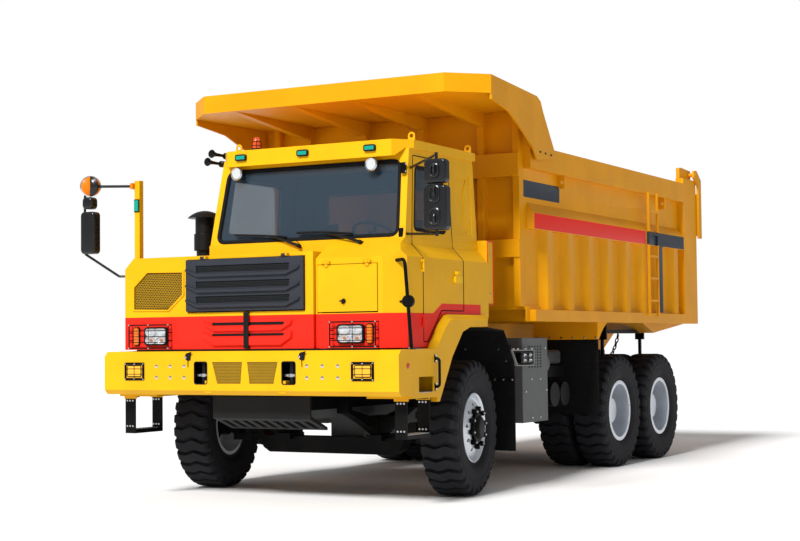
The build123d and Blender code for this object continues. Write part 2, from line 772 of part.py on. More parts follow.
def grille_lid():
    """Grille panel with three louvres, hinged along its top edge."""
    f = HOOD_FRONT_Y
    x0, x1 = GRILLE_X0 + LID_GAP, GRILLE_X1 - LID_GAP
    z0, z1 = GRILLE_Z0 + LID_GAP_FOOT, GRILLE_Z1 - LID_GAP
    shape = box(x0, x1, f - GRILLE_PROUD, f - GRILLE_PROUD + GRILLE_T, z0, z1)
    blades, slots = louvres(LOUVRES_GRILLE, f - GRILLE_PROUD)
    shape = shape + blades - slots
    for x in GRILLE_HINGE_XS:
        shape += hinge_lug(x, f - LID_HINGE_OUT, GRILLE_Z1 + LID_HINGE_UP, f - GRILLE_PROUD + 14, z1)
    return shape


HATCH_X0 = 700
HATCH_X1 = 1370
HATCH_Z0 = 1842
HATCH_Z1 = 2310
HATCH_PROUD = 8
HATCH_HINGE_OUT = HATCH_PROUD + HINGE_KNUCKLE_R + 1
HATCH_HINGE_XS = (HATCH_X0 + LID_HINGE_INSET / 2, HATCH_X1 - LID_HINGE_INSET / 2)


def front_hatch():
    """Service hatch in front of the driver, hinged along its top edge."""
    f = CAB_LOW_FRONT_Y
    z1 = HATCH_Z1 - LID_GAP
    shape = box(
        HATCH_X0 + LID_GAP, HATCH_X1 - LID_GAP, f - HATCH_PROUD, f + CAB_WALL - 10,
        HATCH_Z0 + LID_GAP_FOOT, z1)
    for x in HATCH_HINGE_XS:
        shape += hinge_lug(x, f - HATCH_HINGE_OUT, HATCH_Z1 + LID_HINGE_UP, f - HATCH_PROUD + 3, z1 - 20)
    return shape


# Cab


def cab_plan(t):
    """Plan of the cab below the belt, each side moved in by t."""
    front = CAB_LOW_FRONT_Y + t
    belt_y = CAB_BELT_FRONT_Y + t
    return [
        (CAB_BELT_X0 + t, belt_y),
        (HOOD_LEFT_X + 5 + t, belt_y),
        (HOOD_LEFT_X + 5 + t, front),
        (CAB_CORNER_X - t * 0.3, front),
        (CAB_LOW_X - t, CAB_CORNER_Y + t * 0.5),
        (CAB_LOW_X - t, CAB_REAR_Y - t),
        (CAB_BELT_X0 + t, CAB_REAR_Y - t),
    ]


def cab_solid(inset):
    """Closed outer form of the cab, each face moved in by the inset."""
    t = inset
    front = CAB_LOW_FRONT_Y + t
    belt_y = CAB_BELT_FRONT_Y + t
    floor = CAB_Z0 if not inset else CAB_FLOOR_Z + CAB_WALL
    lower = prism_z(cab_plan(t), floor, CAB_COWL_Z)
    side_slope = [
        (CAB_LOW_X - t, CAB_SHOULDER_Z - t * 0.4),
        (CAB_BELT_X1 - t, CAB_BELT_Z - t * 0.4),
        (CAB_BELT_X1 - t, CAB_COWL_Z + 50),
        (CAB_LOW_X + 200, CAB_COWL_Z + 50),
        (CAB_LOW_X + 200, CAB_SHOULDER_Z - t * 0.4),
    ]
    lower -= prism_y(side_slope, CAB_LOW_FRONT_Y - 100, CAB_REAR_Y + 100)
    front_slope = [
        (front, CAB_SHOULDER_Z - t * 0.4),
        (belt_y, CAB_COWL_Z - t * 0.4),
        (belt_y, CAB_COWL_Z + 50),
        (front - 200, CAB_COWL_Z + 50),
        (front - 200, CAB_SHOULDER_Z - t * 0.4),
    ]
    lower -= prism_x(front_slope, HOOD_LEFT_X - 100, CAB_LOW_X + 100)
    return lower + cab_upper(t)


def cab_upper(t):
    """Upper cab between belt and roof, narrowing upwards, its windscreen raked."""
    rings = []
    for z, x0, x1, y0 in (
        (CAB_BELT_Z, CAB_BELT_X0, CAB_BELT_X1, CAB_BELT_FRONT_Y),
        (CAB_ROOF_Z - t, CAB_ROOF_X0, CAB_ROOF_X1, CAB_ROOF_FRONT_Y),
    ):
        a, b, c, d = x0 + t, x1 - t, y0 + t, CAB_REAR_Y - t
        rings.append(make_face(Polyline((a, c, z), (b, c, z), (b, d, z), (a, d, z), close=True)))
    return loft(rings, ruled=True)


def door_cutter(gap):
    """Space of the door, smaller by the gap all round, its rear edge bevelled."""
    f, r = DOOR_FRONT_Y + gap, DOOR_REAR_Y - gap
    swing = DOOR_SWING_GAP if gap else 0
    side = [
        (f, DOOR_Z0 + gap),
        (FRONT_AXLE_Y - 925 - swing, DOOR_Z0 + gap),
        (FRONT_AXLE_Y - 625 - swing, DOOR_SILL_Z + gap),
        (r, DOOR_SILL_Z + gap),
        (r, DOOR_Z1 - gap),
        (f + DOOR_LEAN, DOOR_Z1 - gap),
        (f, CAB_BELT_Z),
    ]
    inner = CAB_ROOF_X1 - 200
    outer = CAB_LOW_X + 30
    rear = r + DOOR_BEVEL * 30
    plan = [(inner, f - 50), (outer, f - 50), (outer, rear), (inner, rear - DOOR_BEVEL * (outer - inner))]
    space = prism_x(side, inner, outer) & prism_z(plan, DOOR_Z0 - 50, DOOR_Z1 + 50)
    floor_end = CAB_LOW_X - CAB_WALL - DOOR_GAP + gap
    return space - box(inner - 10, floor_end, f - 60, r + 60, DOOR_Z0 - 60, CAB_FLOOR_Z + CAB_WALL)


def windscreen_cutter(grow):
    """Windscreen outline carried through the front wall."""
    z0, z1 = WS_Z0 - grow, WS_Z1 + grow
    share = (z1 - CAB_BELT_Z) / (CAB_ROOF_Z - CAB_BELT_Z)
    x0 = CAB_BELT_X0 + WS_INSET - grow
    x1 = CAB_BELT_X1 - WS_INSET + grow
    lean0 = (CAB_ROOF_X0 - CAB_BELT_X0) * share
    lean1 = (CAB_ROOF_X1 - CAB_BELT_X1) * share
    y0, y1 = CAB_BELT_FRONT_Y - 60, CAB_ROOF_FRONT_Y + 110
    face = make_face(Polyline((x0, y0, z0), (x1, y0, z0), (x1 + lean1, y0, z1), (x0 + lean0, y0, z1), close=True))
    face = fillet(face.vertices(), WS_RADIUS)
    return extrude(face, amount=y1 - y0, dir=(0, 1, 0))


# Side windows as (rear y, front y, low z, high z) measured from the front axle
RIGHT_WINDOW = (100, -900, 2680, 3270)
DOOR_WINDOW = (-290, -955, 2640, 3270)
REAR_WINDOW_X0 = -320
REAR_WINDOW_X1 = 1050
REAR_WINDOW_Z0 = 2660
REAR_WINDOW_Z1 = 3180


# Pressed panel behind the door, with its funnel as (half width, z) from the top
PRESSED_PANEL = (330, -60, 2640, 3280)
PRESSED_FUNNEL = ((135, 3236), (50, 3096), (50, 2808), (110, 2676))
PRESSED_DEPTH = 8


def pressed_panel():
    """Shallow pressing in the cab side: round-cornered field with a waisted funnel in it."""
    x0, x1 = CAB_ROOF_X1 - 100, CAB_BELT_X1 + 50
    field = side_window(PRESSED_PANEL, x0, x1, lean=0) & (cab_upper(-5) - cab_upper(PRESSED_DEPTH))
    mid = FRONT_AXLE_Y + (PRESSED_PANEL[0] + PRESSED_PANEL[1]) / 2
    outline = [(mid + half, z) for half, z in PRESSED_FUNNEL]
    outline += [(mid - half, z) for half, z in reversed(PRESSED_FUNNEL)]
    funnel = prism_x(outline, x0, x1) & (cab_upper(-5) - cab_upper(2 * PRESSED_DEPTH))
    return field + funnel


def side_window(window, x0, x1, lean=95):
    """Opening or field in a side wall with round corners, its front edge leaning back by lean."""
    rear, front, z0, z1 = window
    a, b = FRONT_AXLE_Y + front, FRONT_AXLE_Y + rear
    face = make_face(Polyline((x0, a, z0), (x0, b, z0), (x0, b, z1), (x0, a + lean, z1), close=True))
    face = fillet(face.vertices(), 55)
    return extrude(face, amount=x1 - x0, dir=(1, 0, 0))


def rear_window():
    """Rear window carried through the back wall."""
    y0, y1 = CAB_REAR_Y - 100, CAB_REAR_Y + 100
    face = make_face(Polyline(
        (REAR_WINDOW_X0, y0, REAR_WINDOW_Z0), (REAR_WINDOW_X1, y0, REAR_WINDOW_Z0),
        (REAR_WINDOW_X1, y0, REAR_WINDOW_Z1), (REAR_WINDOW_X0, y0, REAR_WINDOW_Z1), close=True))
    face = fillet(face.vertices(), 60)
    return extrude(face, amount=y1 - y0, dir=(0, 1, 0))


def cab_walls():
    """Hollow cab before its door and windows are cut."""
    return cab_solid(0) - cab_solid(CAB_WALL)


def cab_body():
    """Whole cab with its door opening, windows, hatch and lamp windows and wheel arch."""
    shape = cab_walls()
    t = CAB_WALL
    under = prism_z([
        (CAB_BELT_X0 - 20, CAB_BELT_FRONT_Y - 20),
        (HOOD_LEFT_X + 5 + t, CAB_BELT_FRONT_Y - 20),
        (HOOD_LEFT_X + 5 + t, CAB_LOW_FRONT_Y + t),
        (CAB_CORNER_X - t * 0.3, CAB_LOW_FRONT_Y + t),
        (CAB_LOW_X - t, CAB_CORNER_Y + t * 0.5),
        (CAB_LOW_X - t, CAB_REAR_Y + 20),
        (CAB_BELT_X0 - 20, CAB_REAR_Y + 20),
    ], CAB_Z0 - 20, CAB_FLOOR_Z)
    shape -= under
    shape -= wheel_arch(CAB_LOW_X - 500, CAB_LOW_X + 20)
    shape -= door_cutter(0)
    shape -= windscreen_cutter(0)
    shape -= side_window(RIGHT_WINDOW, CAB_BELT_X0 - 50, CAB_BELT_X0 + 200)
    shape -= rear_window()
    shape -= pressed_panel()
    f = CAB_LOW_FRONT_Y
    shape -= box(HATCH_X0, HATCH_X1, f - 10, f + t + 10, HATCH_Z0, HATCH_Z1)
    x0, x1, front = HEADLAMPS[1]
    shape -= box(x0, x1, f - 10, f + t + 10, HEADLAMP_Z0, HEADLAMP_Z1)
    for x in HATCH_HINGE_XS:
        shape += hinge_seat(x, f - HATCH_HINGE_OUT, HATCH_Z1 + LID_HINGE_UP, f)
    for z in DOOR_HINGE_ZS:
        for z0 in (z - 60, z + 32):
            shape += box(CAB_LOW_X, DOOR_HINGE_X, DOOR_HINGE_Y - 25, DOOR_HINGE_Y, z0, z0 + 28)
            shape += drum_z(DOOR_HINGE_X, DOOR_HINGE_Y, z0, z0 + 28, HINGE_KNUCKLE_R)
        shape += drum_z(DOOR_HINGE_X, DOOR_HINGE_Y, z - 60, z + 60, HINGE_ROD_R)
    return shape


def cab_panels(body):
    """The cab parted where its panels meet: floor, front, sides, rear wall and roof skin."""
    far = 3000
    roof_z = CAB_ROOF_Z - CAB_WALL
    rear_y = CAB_REAR_Y - CAB_WALL
    floor = prism_z(cab_plan(CAB_WALL), CAB_FLOOR_Z, CAB_FLOOR_Z + CAB_WALL)
    top_lean = DOOR_LEAN * (roof_z - CAB_BELT_Z) / (DOOR_Z1 - CAB_BELT_Z)
    ahead = prism_x([
        (CAB_LOW_FRONT_Y - 100, CAB_Z0 - 100),
        (DOOR_FRONT_Y, CAB_Z0 - 100),
        (DOOR_FRONT_Y, CAB_BELT_Z),
        (DOOR_FRONT_Y + top_lean, roof_z),
        (CAB_LOW_FRONT_Y - 100, roof_z),
    ], -far, far)
    below_roof = box(-far, far, -far * 2, rear_y, CAB_Z0 - 100, roof_z)
    behind = box(-far, far, rear_y, CAB_REAR_Y + 100, CAB_Z0 - 100, roof_z)
    walls = body - floor
    return {
        "cab_floor": (body & floor) + seat_pedestals(),
        "cab_front": walls & ahead,
        "cab_sides": (walls & below_roof) - ahead,
        "cab_rear_wall": (walls & behind) + side_cabinet(),
        "roof_cap": (body & box(-far, far, -far * 2, far, roof_z, CAB_ROOF_Z)) + roof_cap(),
    }


def side_cabinet():
    """Slim cabinet on the rear wall of the cab at its left corner, with a folded rim."""
    x0, x1 = CAB_LOW_X - 330, CAB_LOW_X - 12
    y0, y1 = CAB_REAR_Y, CAB_REAR_Y + CABINET_D
    plate = box(x0, x1, y0, y1, CABINET_Z0, CABINET_Z1)
    upright = plate.edges().filter_by(Axis.Y)
    return fillet(upright, 25) - box(x0 + 15, x1 - 15, y1 - 40, y1 + 10, CABINET_Z0 + 15, CABINET_Z1 - 15)


CABINET_D = 150
CABINET_Z0 = 1933
CABINET_Z1 = 2605


def glass_slab(depth):
    """Thin layer inside the upper cab walls, from depth to depth plus the glass."""
    return cab_upper(depth) - cab_upper(depth + GLASS_T)


def cab_glass():
    """Windscreen, right window and rear window, each seated in its cut-out."""
    slab = glass_slab(14)
    panes = [
        slab & windscreen_cutter(0),
        slab & side_window(RIGHT_WINDOW, CAB_BELT_X0 - 50, CAB_BELT_X0 + 200),
        slab & rear_window(),
    ]
    return Compound(children=panes)


def cab_door():
    """Door as thick as the cab wall, with its window cut."""
    shape = cab_walls() & door_cutter(DOOR_GAP)
    shape -= side_window(DOOR_WINDOW, CAB_ROOF_X1 - 250, CAB_BELT_X1 + 50)
    for z in DOOR_HINGE_ZS:
        shape += box(CAB_LOW_X, DOOR_HINGE_X, DOOR_HINGE_Y, DOOR_FRONT_Y + 50, z - 28, z + 28)
        shape += drum_z(DOOR_HINGE_X, DOOR_HINGE_Y, z - 28, z + 28, HINGE_KNUCKLE_R)
        shape -= drum_z(DOOR_HINGE_X, DOOR_HINGE_Y, z - 40, z + 40, HINGE_ROD_R + PIN_GAP)
    handle_y = DOOR_REAR_Y - 145
    return shape + box(CAB_LOW_X - 5, CAB_LOW_X + 22, handle_y - 70, handle_y + 70, 2150, 2194)


def door_glass():
    """Pane of the door window."""
    return glass_slab(14) & side_window(DOOR_WINDOW, CAB_ROOF_X1 - 250, CAB_BELT_X1 + 50)


def roof_cap():
    """Roof cap with a visor along its front edge."""
    z0, z1 = CAB_ROOF_Z, CAB_ROOF_Z + ROOF_CAP_H
    x0, x1 = CAB_ROOF_X0 - ROOF_CAP_OUT, CAB_ROOF_X1 + ROOF_CAP_OUT
    mid = (x0 + x1) / 2
    y1 = CAB_REAR_Y + ROOF_CAP_OUT
    corner_y = CAB_ROOF_FRONT_Y + 60
    plan = [
        (mid - VISOR_HALF_W, VISOR_FRONT_Y),
        (mid + VISOR_HALF_W, VISOR_FRONT_Y),
        (x1, corner_y),
        (x1, y1),
        (x0, y1),
        (x0, corner_y),
    ]
    shape = prism_z(plan, z0, z1)
    lip = prism_z(plan[:3] + [(x1, corner_y + 20), (x0, corner_y + 20), (x0, corner_y)], z0 - VISOR_DROP, z0)
    keep = [
        (VISOR_FRONT_Y - 20, z0 - VISOR_DROP),
        (VISOR_FRONT_Y + 25, z0 - VISOR_DROP),
        (CAB_ROOF_FRONT_Y - 12, z0),
        (VISOR_FRONT_Y - 20, z0),
    ]
    shape += lip & prism_x(keep, x0 - 50, x1 + 50)
    for x, y in LIFTING_EYES:
        shape += lifting_eye(x, FRONT_AXLE_Y + y, z1)
    return shape


# Lifting eyes on the roof as (x, y from the front axle)
LIFTING_EYES = ((-537, -960), (1425, -860), (1425, 380))
EYE_PLATE_R = 38
EYE_HOLE_R = 20
EYE_PLATE_T = 14


def lifting_eye(x, y, z):
    """Upright plate with a round top and a hole."""
    y0, y1 = y - EYE_PLATE_T / 2, y + EYE_PLATE_T / 2
    centre = z + EYE_PLATE_R + 8
    plate = box(x - EYE_PLATE_R, x + EYE_PLATE_R, y0, y1, z, centre) + drum_y(x, y0, y1, centre, EYE_PLATE_R)
    return plate - drum_y(x, y0 - 5, y1 + 5, centre, EYE_HOLE_R)


# Inside the cab

DRIVER_X = 870
SEAT_XS = (DRIVER_X, -150)
SEAT_W = 480
SEAT_FOOT_Z = CAB_FLOOR_Z + CAB_WALL + 180
SEAT_Z = 2230


def seats():
    """Driver and passenger seats, each cushion and back in one solid."""
    y0 = FRONT_AXLE_Y - 380
    profile = [
        (y0, SEAT_FOOT_Z),
        (y0, SEAT_Z),
        (y0 + 430, SEAT_Z - 20),
        (y0 + 520, SEAT_Z + 640),
        (y0 + 620, SEAT_Z + 640),
        (y0 + 560, SEAT_FOOT_Z),
    ]
    seats_made = []
    for x in SEAT_XS:
        seats_made.append(prism_x(profile, x - SEAT_W / 2, x + SEAT_W / 2))
    return Compound(children=seats_made)


def seat_pedestals():
    """Pedestal under each seat, on the cab floor."""
    y0 = FRONT_AXLE_Y - 340
    floor = CAB_FLOOR_Z + CAB_WALL
    left, right = (box(x - 160, x + 160, y0, y0 + 420, floor, SEAT_FOOT_Z) for x in SEAT_XS)
    return left + right


def dashboard():
    """Dashboard under the windscreen."""
    y0 = CAB_BELT_FRONT_Y + CAB_WALL
    profile = [
        (y0, 2350),
        (y0, 2560),
        (y0 + 90, 2620),
        (y0 + 300, 2600),
        (y0 + 380, 2480),
        (y0 + 330, 2300),
    ]
    block = prism_x(profile, CAB_BELT_X0 + CAB_WALL, CAB_BELT_X1 - CAB_WALL - 16)
    return block & cab_solid(CAB_WALL)


def steering_wheel():
    """Steering wheel on its column."""
    centre = (DRIVER_X, FRONT_AXLE_Y - 640, 2640)
    foot = (DRIVER_X, FRONT_AXLE_Y - 790, 2440)
    lean = Plane(origin=centre, z_dir=(0, 0.5, 0.866))
    shape = lean * Torus(215, 16)
    shape += lean * Pos(0, 0, -20) * Cylinder(60, 40)
    for angle in (0, 120, 240):
        shape += lean * Rot(0, 0, angle + 90) * Pos(120, 0, -10) * Box(200, 34, 14)
    return shape + bar(foot, centre, 34) - dashboard()


# Cab trim


def roof_lights():
    """Work lamps, marker lamps, beacon and horns."""
    z1 = CAB_ROOF_Z + ROOF_CAP_H
    shapes = [drum_z(-339, FRONT_AXLE_Y - 930, z1, z1 + 150, 52)]
    for x in (-489, 1091):
        y = VISOR_FRONT_Y + 5
        lamp = drum_y(x, y, y + 80, 3290, 62)
        shapes.append(lamp + box(x - 12, x + 12, y, y + 18, 3290, CAB_ROOF_Z - VISOR_DROP))
    for x in (-420, 320, 1090):
        shapes.append(box(x - 60, x + 60, VISOR_FRONT_Y - 22, VISOR_FRONT_Y, 3420, 3480))
    beam_z = CAB_ROOF_Z + 40
    horns = box(HORN_XS[0], CAB_ROOF_X0 - ROOF_CAP_OUT, HORN_Y, HORN_Y + 30, beam_z - 20, beam_z + 20)
    for x, z in zip(HORN_XS, (beam_z - 35, beam_z + 45)):
        horns += Pos(x, HORN_Y + 15, z) * Rot(90, 0, 0) * trumpet()
    shapes.append(horns)
    return Compound(children=shapes)


HORN_XS = (-888, -835)
HORN_Y = FRONT_AXLE_Y - 790


def trumpet():
    """Horn along +Z from its driver can to its flared mouth."""
    profile = [(0, -60), (34, -60), (34, 10), (14, 20), (18, 160), (26, 215), (44, 250), (38, 250), (0, 215)]
    return revolve(make_face(Polyline(*[(r, 0, z) for r, z in profile], close=True)), axis=Axis.Z)


def handrails():
    """Grab rail at the cab corner with its round guard, and the grip on the step box."""
    x = FENDER_OUT_X - 25
    y = FRONT_AXLE_Y - 1490
    rail = bent_bar([(1500, y + 130, 2330), (x, y, 2330), (x, y + 120, STEP_BOX_Z1)], 17, 50)
    rail += bar((x, y + 70, 1940), (1560, y + 120, 1940), 12)
    rail += drum_y(x, y + 45, y + 85, 1940, 58)
    rail -= box(x - 60, x + 60, y, y + 200, STEP_BOX_Z1 - 60, STEP_BOX_Z1)
    out = FENDER_OUT_X + GRIP_OUT
    gy = STEP_BOX_REAR_Y - 35
    corners = [(FENDER_OUT_X, GRIP_Z1), (out, GRIP_Z1), (out, GRIP_Z0), (FENDER_OUT_X, GRIP_Z0)]
    grip = bent_bar([(x, gy, z) for x, z in corners], 13, 30)
    return Compound(children=(rail - cab_solid(0)).solids() + [grip])


GRIP_OUT = 45
GRIP_Z0 = 1130
GRIP_Z1 = 1400
HEAD_RADIUS = 42
HEAD_BACK_RADIUS = 24


MIRROR_X = 1960
MIRROR_LEFT_Y = FRONT_AXLE_Y - 1380
MIRROR_RIGHT_Y = FRONT_AXLE_Y - 1600
MIRROR_ARM_Z = 3200
POST_X = -1527
POST_Y = FRONT_AXLE_Y - 1350


def left_mirrors():
    """Two heads on a stem held by two arms from the cab pillar."""
    x, y = MIRROR_X, MIRROR_LEFT_Y
    shape = drum_z(x, y, 2540, 3320, 16)
    shape += rounded_head(x, y, 3030, 3260, 115, 42) + rounded_head(x, y, 2590, 3015, 120, 48)
    shape += bar((x, y, 3300), (1400, CAB_ROOF_FRONT_Y + 60, 3240), 13)
    shape += bar((x, y, 2560), (1420, CAB_BELT_FRONT_Y + 90, 2600), 13)
    return shape - cab_upper(0)


def right_mirrors():
    """Round look-down mirror and two heads on a cranked tube, with the arm to the post."""
    x, y = -MIRROR_X, MIRROR_RIGHT_Y
    outer = x - 74
    foot = (HOOD_RIGHT_X + 30, FRONT_AXLE_Y - 1400, 2266)
    top = [(x, y, MIRROR_ARM_Z), (outer, y, MIRROR_ARM_Z - 100)]
    shape = bent_bar(top + [(outer, y, 2504), (-1706, y + 150, 2266), foot], 13, 40)
    shape += rounded_head(x - 7, y, 2500, 2937, 92, 50) + rounded_head(x - 14, y, 2965, 3090, 66, 45)
    dish = [(0, 0), (105, 0), (105, 14), (70, 38), (0, 48)]
    bowl = revolve(make_face(Polyline(*[(r, 0, z) for r, z in dish], close=True)), axis=Axis.Z)
    shape += Pos(x, y, MIRROR_ARM_Z) * Rot(90, 0, 50) * bowl
    shape += bar((x, y, MIRROR_ARM_Z), (POST_X, POST_Y, MIRROR_ARM_Z), 14)
    return shape - hood_solid(0) - mirror_post()


def mirrors():
    """Mirrors of both sides."""
    return Compound(children=[left_mirrors(), right_mirrors()])


def mirror_post():
    """Square post on the hood that carries the right mirrors."""
    return box(POST_X - 32, POST_X + 32, POST_Y - 32, POST_Y + 32, HOOD_Z1 - 120, 3255) - hood_solid(0)


# Air intake as (radius, height) from its foot plate up to the neck under the rain cap
INTAKE_FORM = ((150, 0), (150, 14), (92, 14), (92, 120), (118, 120), (118, 300), (104, 300), (104, 475))
INTAKE_CAP_R = 188
INTAKE_CAP_H = 80


def air_intake():
    """Air cleaner on the right deck: foot plate, canister and domed rain cap."""
    body = [(0, 0), *INTAKE_FORM, (0, INTAKE_FORM[-1][1])]
    shape = revolve(make_face(Polyline(*[(r, 0, z) for r, z in body], close=True)), axis=Axis.Z)
    cap_z = INTAKE_FORM[-1][1] - 5
    radius = (INTAKE_CAP_R ** 2 + INTAKE_CAP_H ** 2) / (2 * INTAKE_CAP_H)
    ball = Pos(0, 0, cap_z + INTAKE_CAP_H - radius) * Sphere(radius)
    shape += ball & box(-radius, radius, -radius, radius, cap_z, cap_z + INTAKE_CAP_H + 10)
    return Pos(-1300, FRONT_AXLE_Y - 500, HOOD_Z1) * shape


# Fenders, steps and guards

# Outer and inner outlines of the lip, and the crown behind it, as (y from the front axle, z)
ARCH_OUT = [(-936, 1538), (-738, 1739), (-621, FENDER_Z1 - 9), (-560, FENDER_Z1), (290, FENDER_Z1)]
ARCH_IN = [(290, 1709), (-158, 1704), (-335, 1655), (-571, 1413), (-851, 985), (-905, 985)]
CROWN = [(-1052, 1494), (-897, 1494), (-597, 1800), (290, 1800)]


def on_arch_top(edge):
    """Whether an edge of the lip is one of its upper outer edges."""
    y, z = edge.center().Y - FRONT_AXLE_Y, edge.center().Z
    (y0, z0), (y1, z1) = ARCH_OUT[0], ARCH_OUT[1]
    return z > z0 + (y - y0) * (z1 - z0) / (y1 - y0) - 5 or z > ARCH_IN[0][1] + 40


def fender():
    """Wheel arch with an outer lip, and the step box ahead of it."""
    outline = [(FRONT_AXLE_Y + y, z) for y, z in ARCH_OUT + ARCH_IN]
    outline += [(STEP_BOX_REAR_Y, STEP_BOX_Z1), (FRONT_AXLE_Y - 970, STEP_BOX_Z1)]
    arch = prism_x(outline, FENDER_OUT_X - FENDER_LIP, FENDER_OUT_X)
    top_edges = arch.edges().filter_by(lambda e: e.center().X > FENDER_OUT_X - 1 and e.center().Z > 1512)
    top_edges = top_edges.filter_by(lambda e: (e @ 0).Z >= 1537 and (e @ 1).Z >= 1537 and on_arch_top(e))
    arch = chamfer(top_edges, FENDER_CHAMFER)
    crown = [(FRONT_AXLE_Y + y, z) for y, z in CROWN]
    under = [(y, z - FENDER_T) for y, z in reversed(crown)]
    arch += prism_x(crown + under, FENDER_IN_X, FENDER_OUT_X - 20)
    f = BUMPER_FRONT_Y + BUMPER_DEPTH
    step = box(STEP_BOX_IN_X, FENDER_OUT_X, f, STEP_BOX_REAR_Y, STEP_BOX_Z0, STEP_BOX_Z1)
    t = STEP_BOX_T
    step -= box(STEP_BOX_IN_X + t, FENDER_OUT_X - t, f + t, STEP_BOX_REAR_Y - t, STEP_BOX_Z0 + t, STEP_BOX_Z1 - t)
    step -= box(FENDER_OUT_X - 2 * t, FENDER_OUT_X + t, FRONT_AXLE_Y - 1276, FRONT_AXLE_Y - 974, 1080, 1230)
    return arch + step


def front_mudguards():
    """Guard behind each front wheel with its rubber flap."""
    y = FRONT_AXLE_Y
    outline = [
        (y + 300, 1690),
        (y + 700, 1660),
        (y + 950, 1330),
        (y + 960, 1130),
        (y + 960, 390),
        (y + 972, 390),
        (y + 972, 1130),
        (y + 962, 1335),
        (y + 706, 1672),
        (y + 300, 1702),
    ]
    guard = prism_x(outline, 1000, 1665)
    guard += box(RAIL_OUT_X, 1010, y + 880, y + 950, 1140, 1200)
    guard += box(1000, 1010, y + 800, y + 960, 1140, 1520)
    return both_sides(guard)


STEP_TREAD_X0 = 1520
STEP_TREAD_X1 = 1650
STEP_TREAD_Z = 690
STEP_STRAP_T = 12


def front_steps():
    """Step hung under each step box on two straps, its tread lying fore and aft."""
    y0, y1 = BUMPER_FRONT_Y + BUMPER_DEPTH + 25, FRONT_AXLE_Y - 965
    x0, x1, t = STEP_TREAD_X0, STEP_TREAD_X1, STEP_STRAP_T
    shape = box(x0, x1, y0, y1, STEP_TREAD_Z - 40, STEP_TREAD_Z)
    for y in (y0, y1 - t):
        shape += box(x0, x1, y, y + t, STEP_TREAD_Z, STEP_BOX_Z0)
    for y in (y0 + t, y1 - t - 60):
        shape += box(x0, x1, y, y + 60, STEP_BOX_Z0 - 12, STEP_BOX_Z0)
    return both_sides(shape)


def along(share):
    """Y at a share of the way from the front axle to the first rear axle."""
    return FRONT_AXLE_Y + share * WHEELBASE


SILENCER_L = 340
SILENCER_R = 145


def exhaust_box():
    """Tall after-treatment housing on the left, behind the front wheel."""
    y0, y1 = along(0.344), along(0.511)
    shape = box(1000, 1550, y0, y1, 660, 1590)
    shape += drum_y(1290, y1, y1 + SILENCER_L, 1297, SILENCER_R)
    shape += drum_y(1290, y1 + SILENCER_L, y1 + SILENCER_L + 30, 1297, SILENCER_R - 40)
    shape += box(1180, 1420, y0 - 16, y0, 1284, 1514)
    for y in (y0 + 100, y1 - 190):
        shape += box(RAIL_OUT_X, 1000, y, y + 80, 1000, 1100)
    return shape


def air_tanks():
    """Two air tanks lying crosswise on one saddle plate."""
    y0, y1 = along(0.618), along(0.691)
    plate = box(888, 900, y0 - 130, y1 + 140, 800, 1070)
    shape = plate + box(RAIL_OUT_X, 888, y0 - 130, y0 - 70, 940, 1060)
    for y in (y0, y1):
        shape += drum_x(900, 1450, y, 935, 140)
    return shape


def fuel_tank():
    """Fuel tank on the right side."""
    y0, y1 = along(0.344), along(0.6715)
    shape = box(-1550, -880, y0, y1, 620, 1300)
    shape = fillet(shape.edges().filter_by(Axis.Y), 70)
    for y in (y0 + 250, y1 - 350):
        shape += box(-900, -RAIL_OUT_X, y, y + 80, 950, 1050)
    return shape


# Bed


def bed_floor():
    """Floor plate on cross bearers, with the tail wedges and the hoist ears."""
    f, r = BED_FRONT_Y, BED_REAR_Y
    shape = box(-BED_WALL_X, BED_WALL_X, f, r, BED_RAIL_Z1, BED_FLOOR_Z)
    bearers = 10
    pitch = (r - f - 400) / (bearers - 1)
    for i in range(bearers):
        y = f + 150 + i * pitch
        shape += box(-BED_WALL_X, BED_WALL_X, y, y + 100, SILL_TOP_Z, BED_RAIL_Z1)
    shape += tail_box() + mirrored(tail_box())
    y, z = HOIST_TOP_Y, HOIST_TOP_Z
    ear = box(HOIST_X - 85, HOIST_X - 60, y - 90, y + 90, z - 60, SILL_TOP_Z + 5)
    ears = ear + Pos(145, 0, 0) * ear
    plate = box(HOIST_X - 100, HOIST_X + 100, HOIST_TOP_Y - 120, HOIST_TOP_Y + 120, SILL_TOP_Z, BED_RAIL_Z1)
    return shape + ears + mirrored(ears) + plate + mirrored(plate)


def bed_sills():
    """Two long sills under the floor with the bosses of the tipping hinge."""
    r = BED_REAR_Y
    x0, x1 = RAIL_IN_X + SILL_GAP, RAIL_OUT_X - SILL_GAP
    outline = [
        (SILL_FRONT_Y, RAIL_Z1 + 0.3),
        (HINGE_Y - 40, RAIL_Z1 + 0.3),
        (HINGE_Y - 40, HINGE_Z - 60),
        (HINGE_Y + 90, HINGE_Z + 60),
        (r - 120, 1660),
        (r - 60, SILL_TOP_Z),
        (SILL_FRONT_Y, SILL_TOP_Z),
    ]
    sill = prism_x(outline, x0, x1)
    sill += drum_x(x0, x1, HINGE_Y, HINGE_Z, HINGE_BOSS_R)
    sill -= drum_x(x0 - 10, x1 + 10, HINGE_Y, HINGE_Z, HINGE_PIN_R + PIN_GAP)
    return both_sides(sill)


def tail_box():
    """Wedge under the tail of the floor, outside the left sill."""
    r = BED_REAR_Y
    z0, z1 = SILL_TOP_Z, SILL_TOP_Z + 60
    tail = [(r - 1660, z0), (r - 1260, 1645), (r, z0), (r, z1), (r - 1660, z1)]
    return prism_x(tail, RAIL_OUT_X - SILL_GAP, BED_WALL_X - 120)


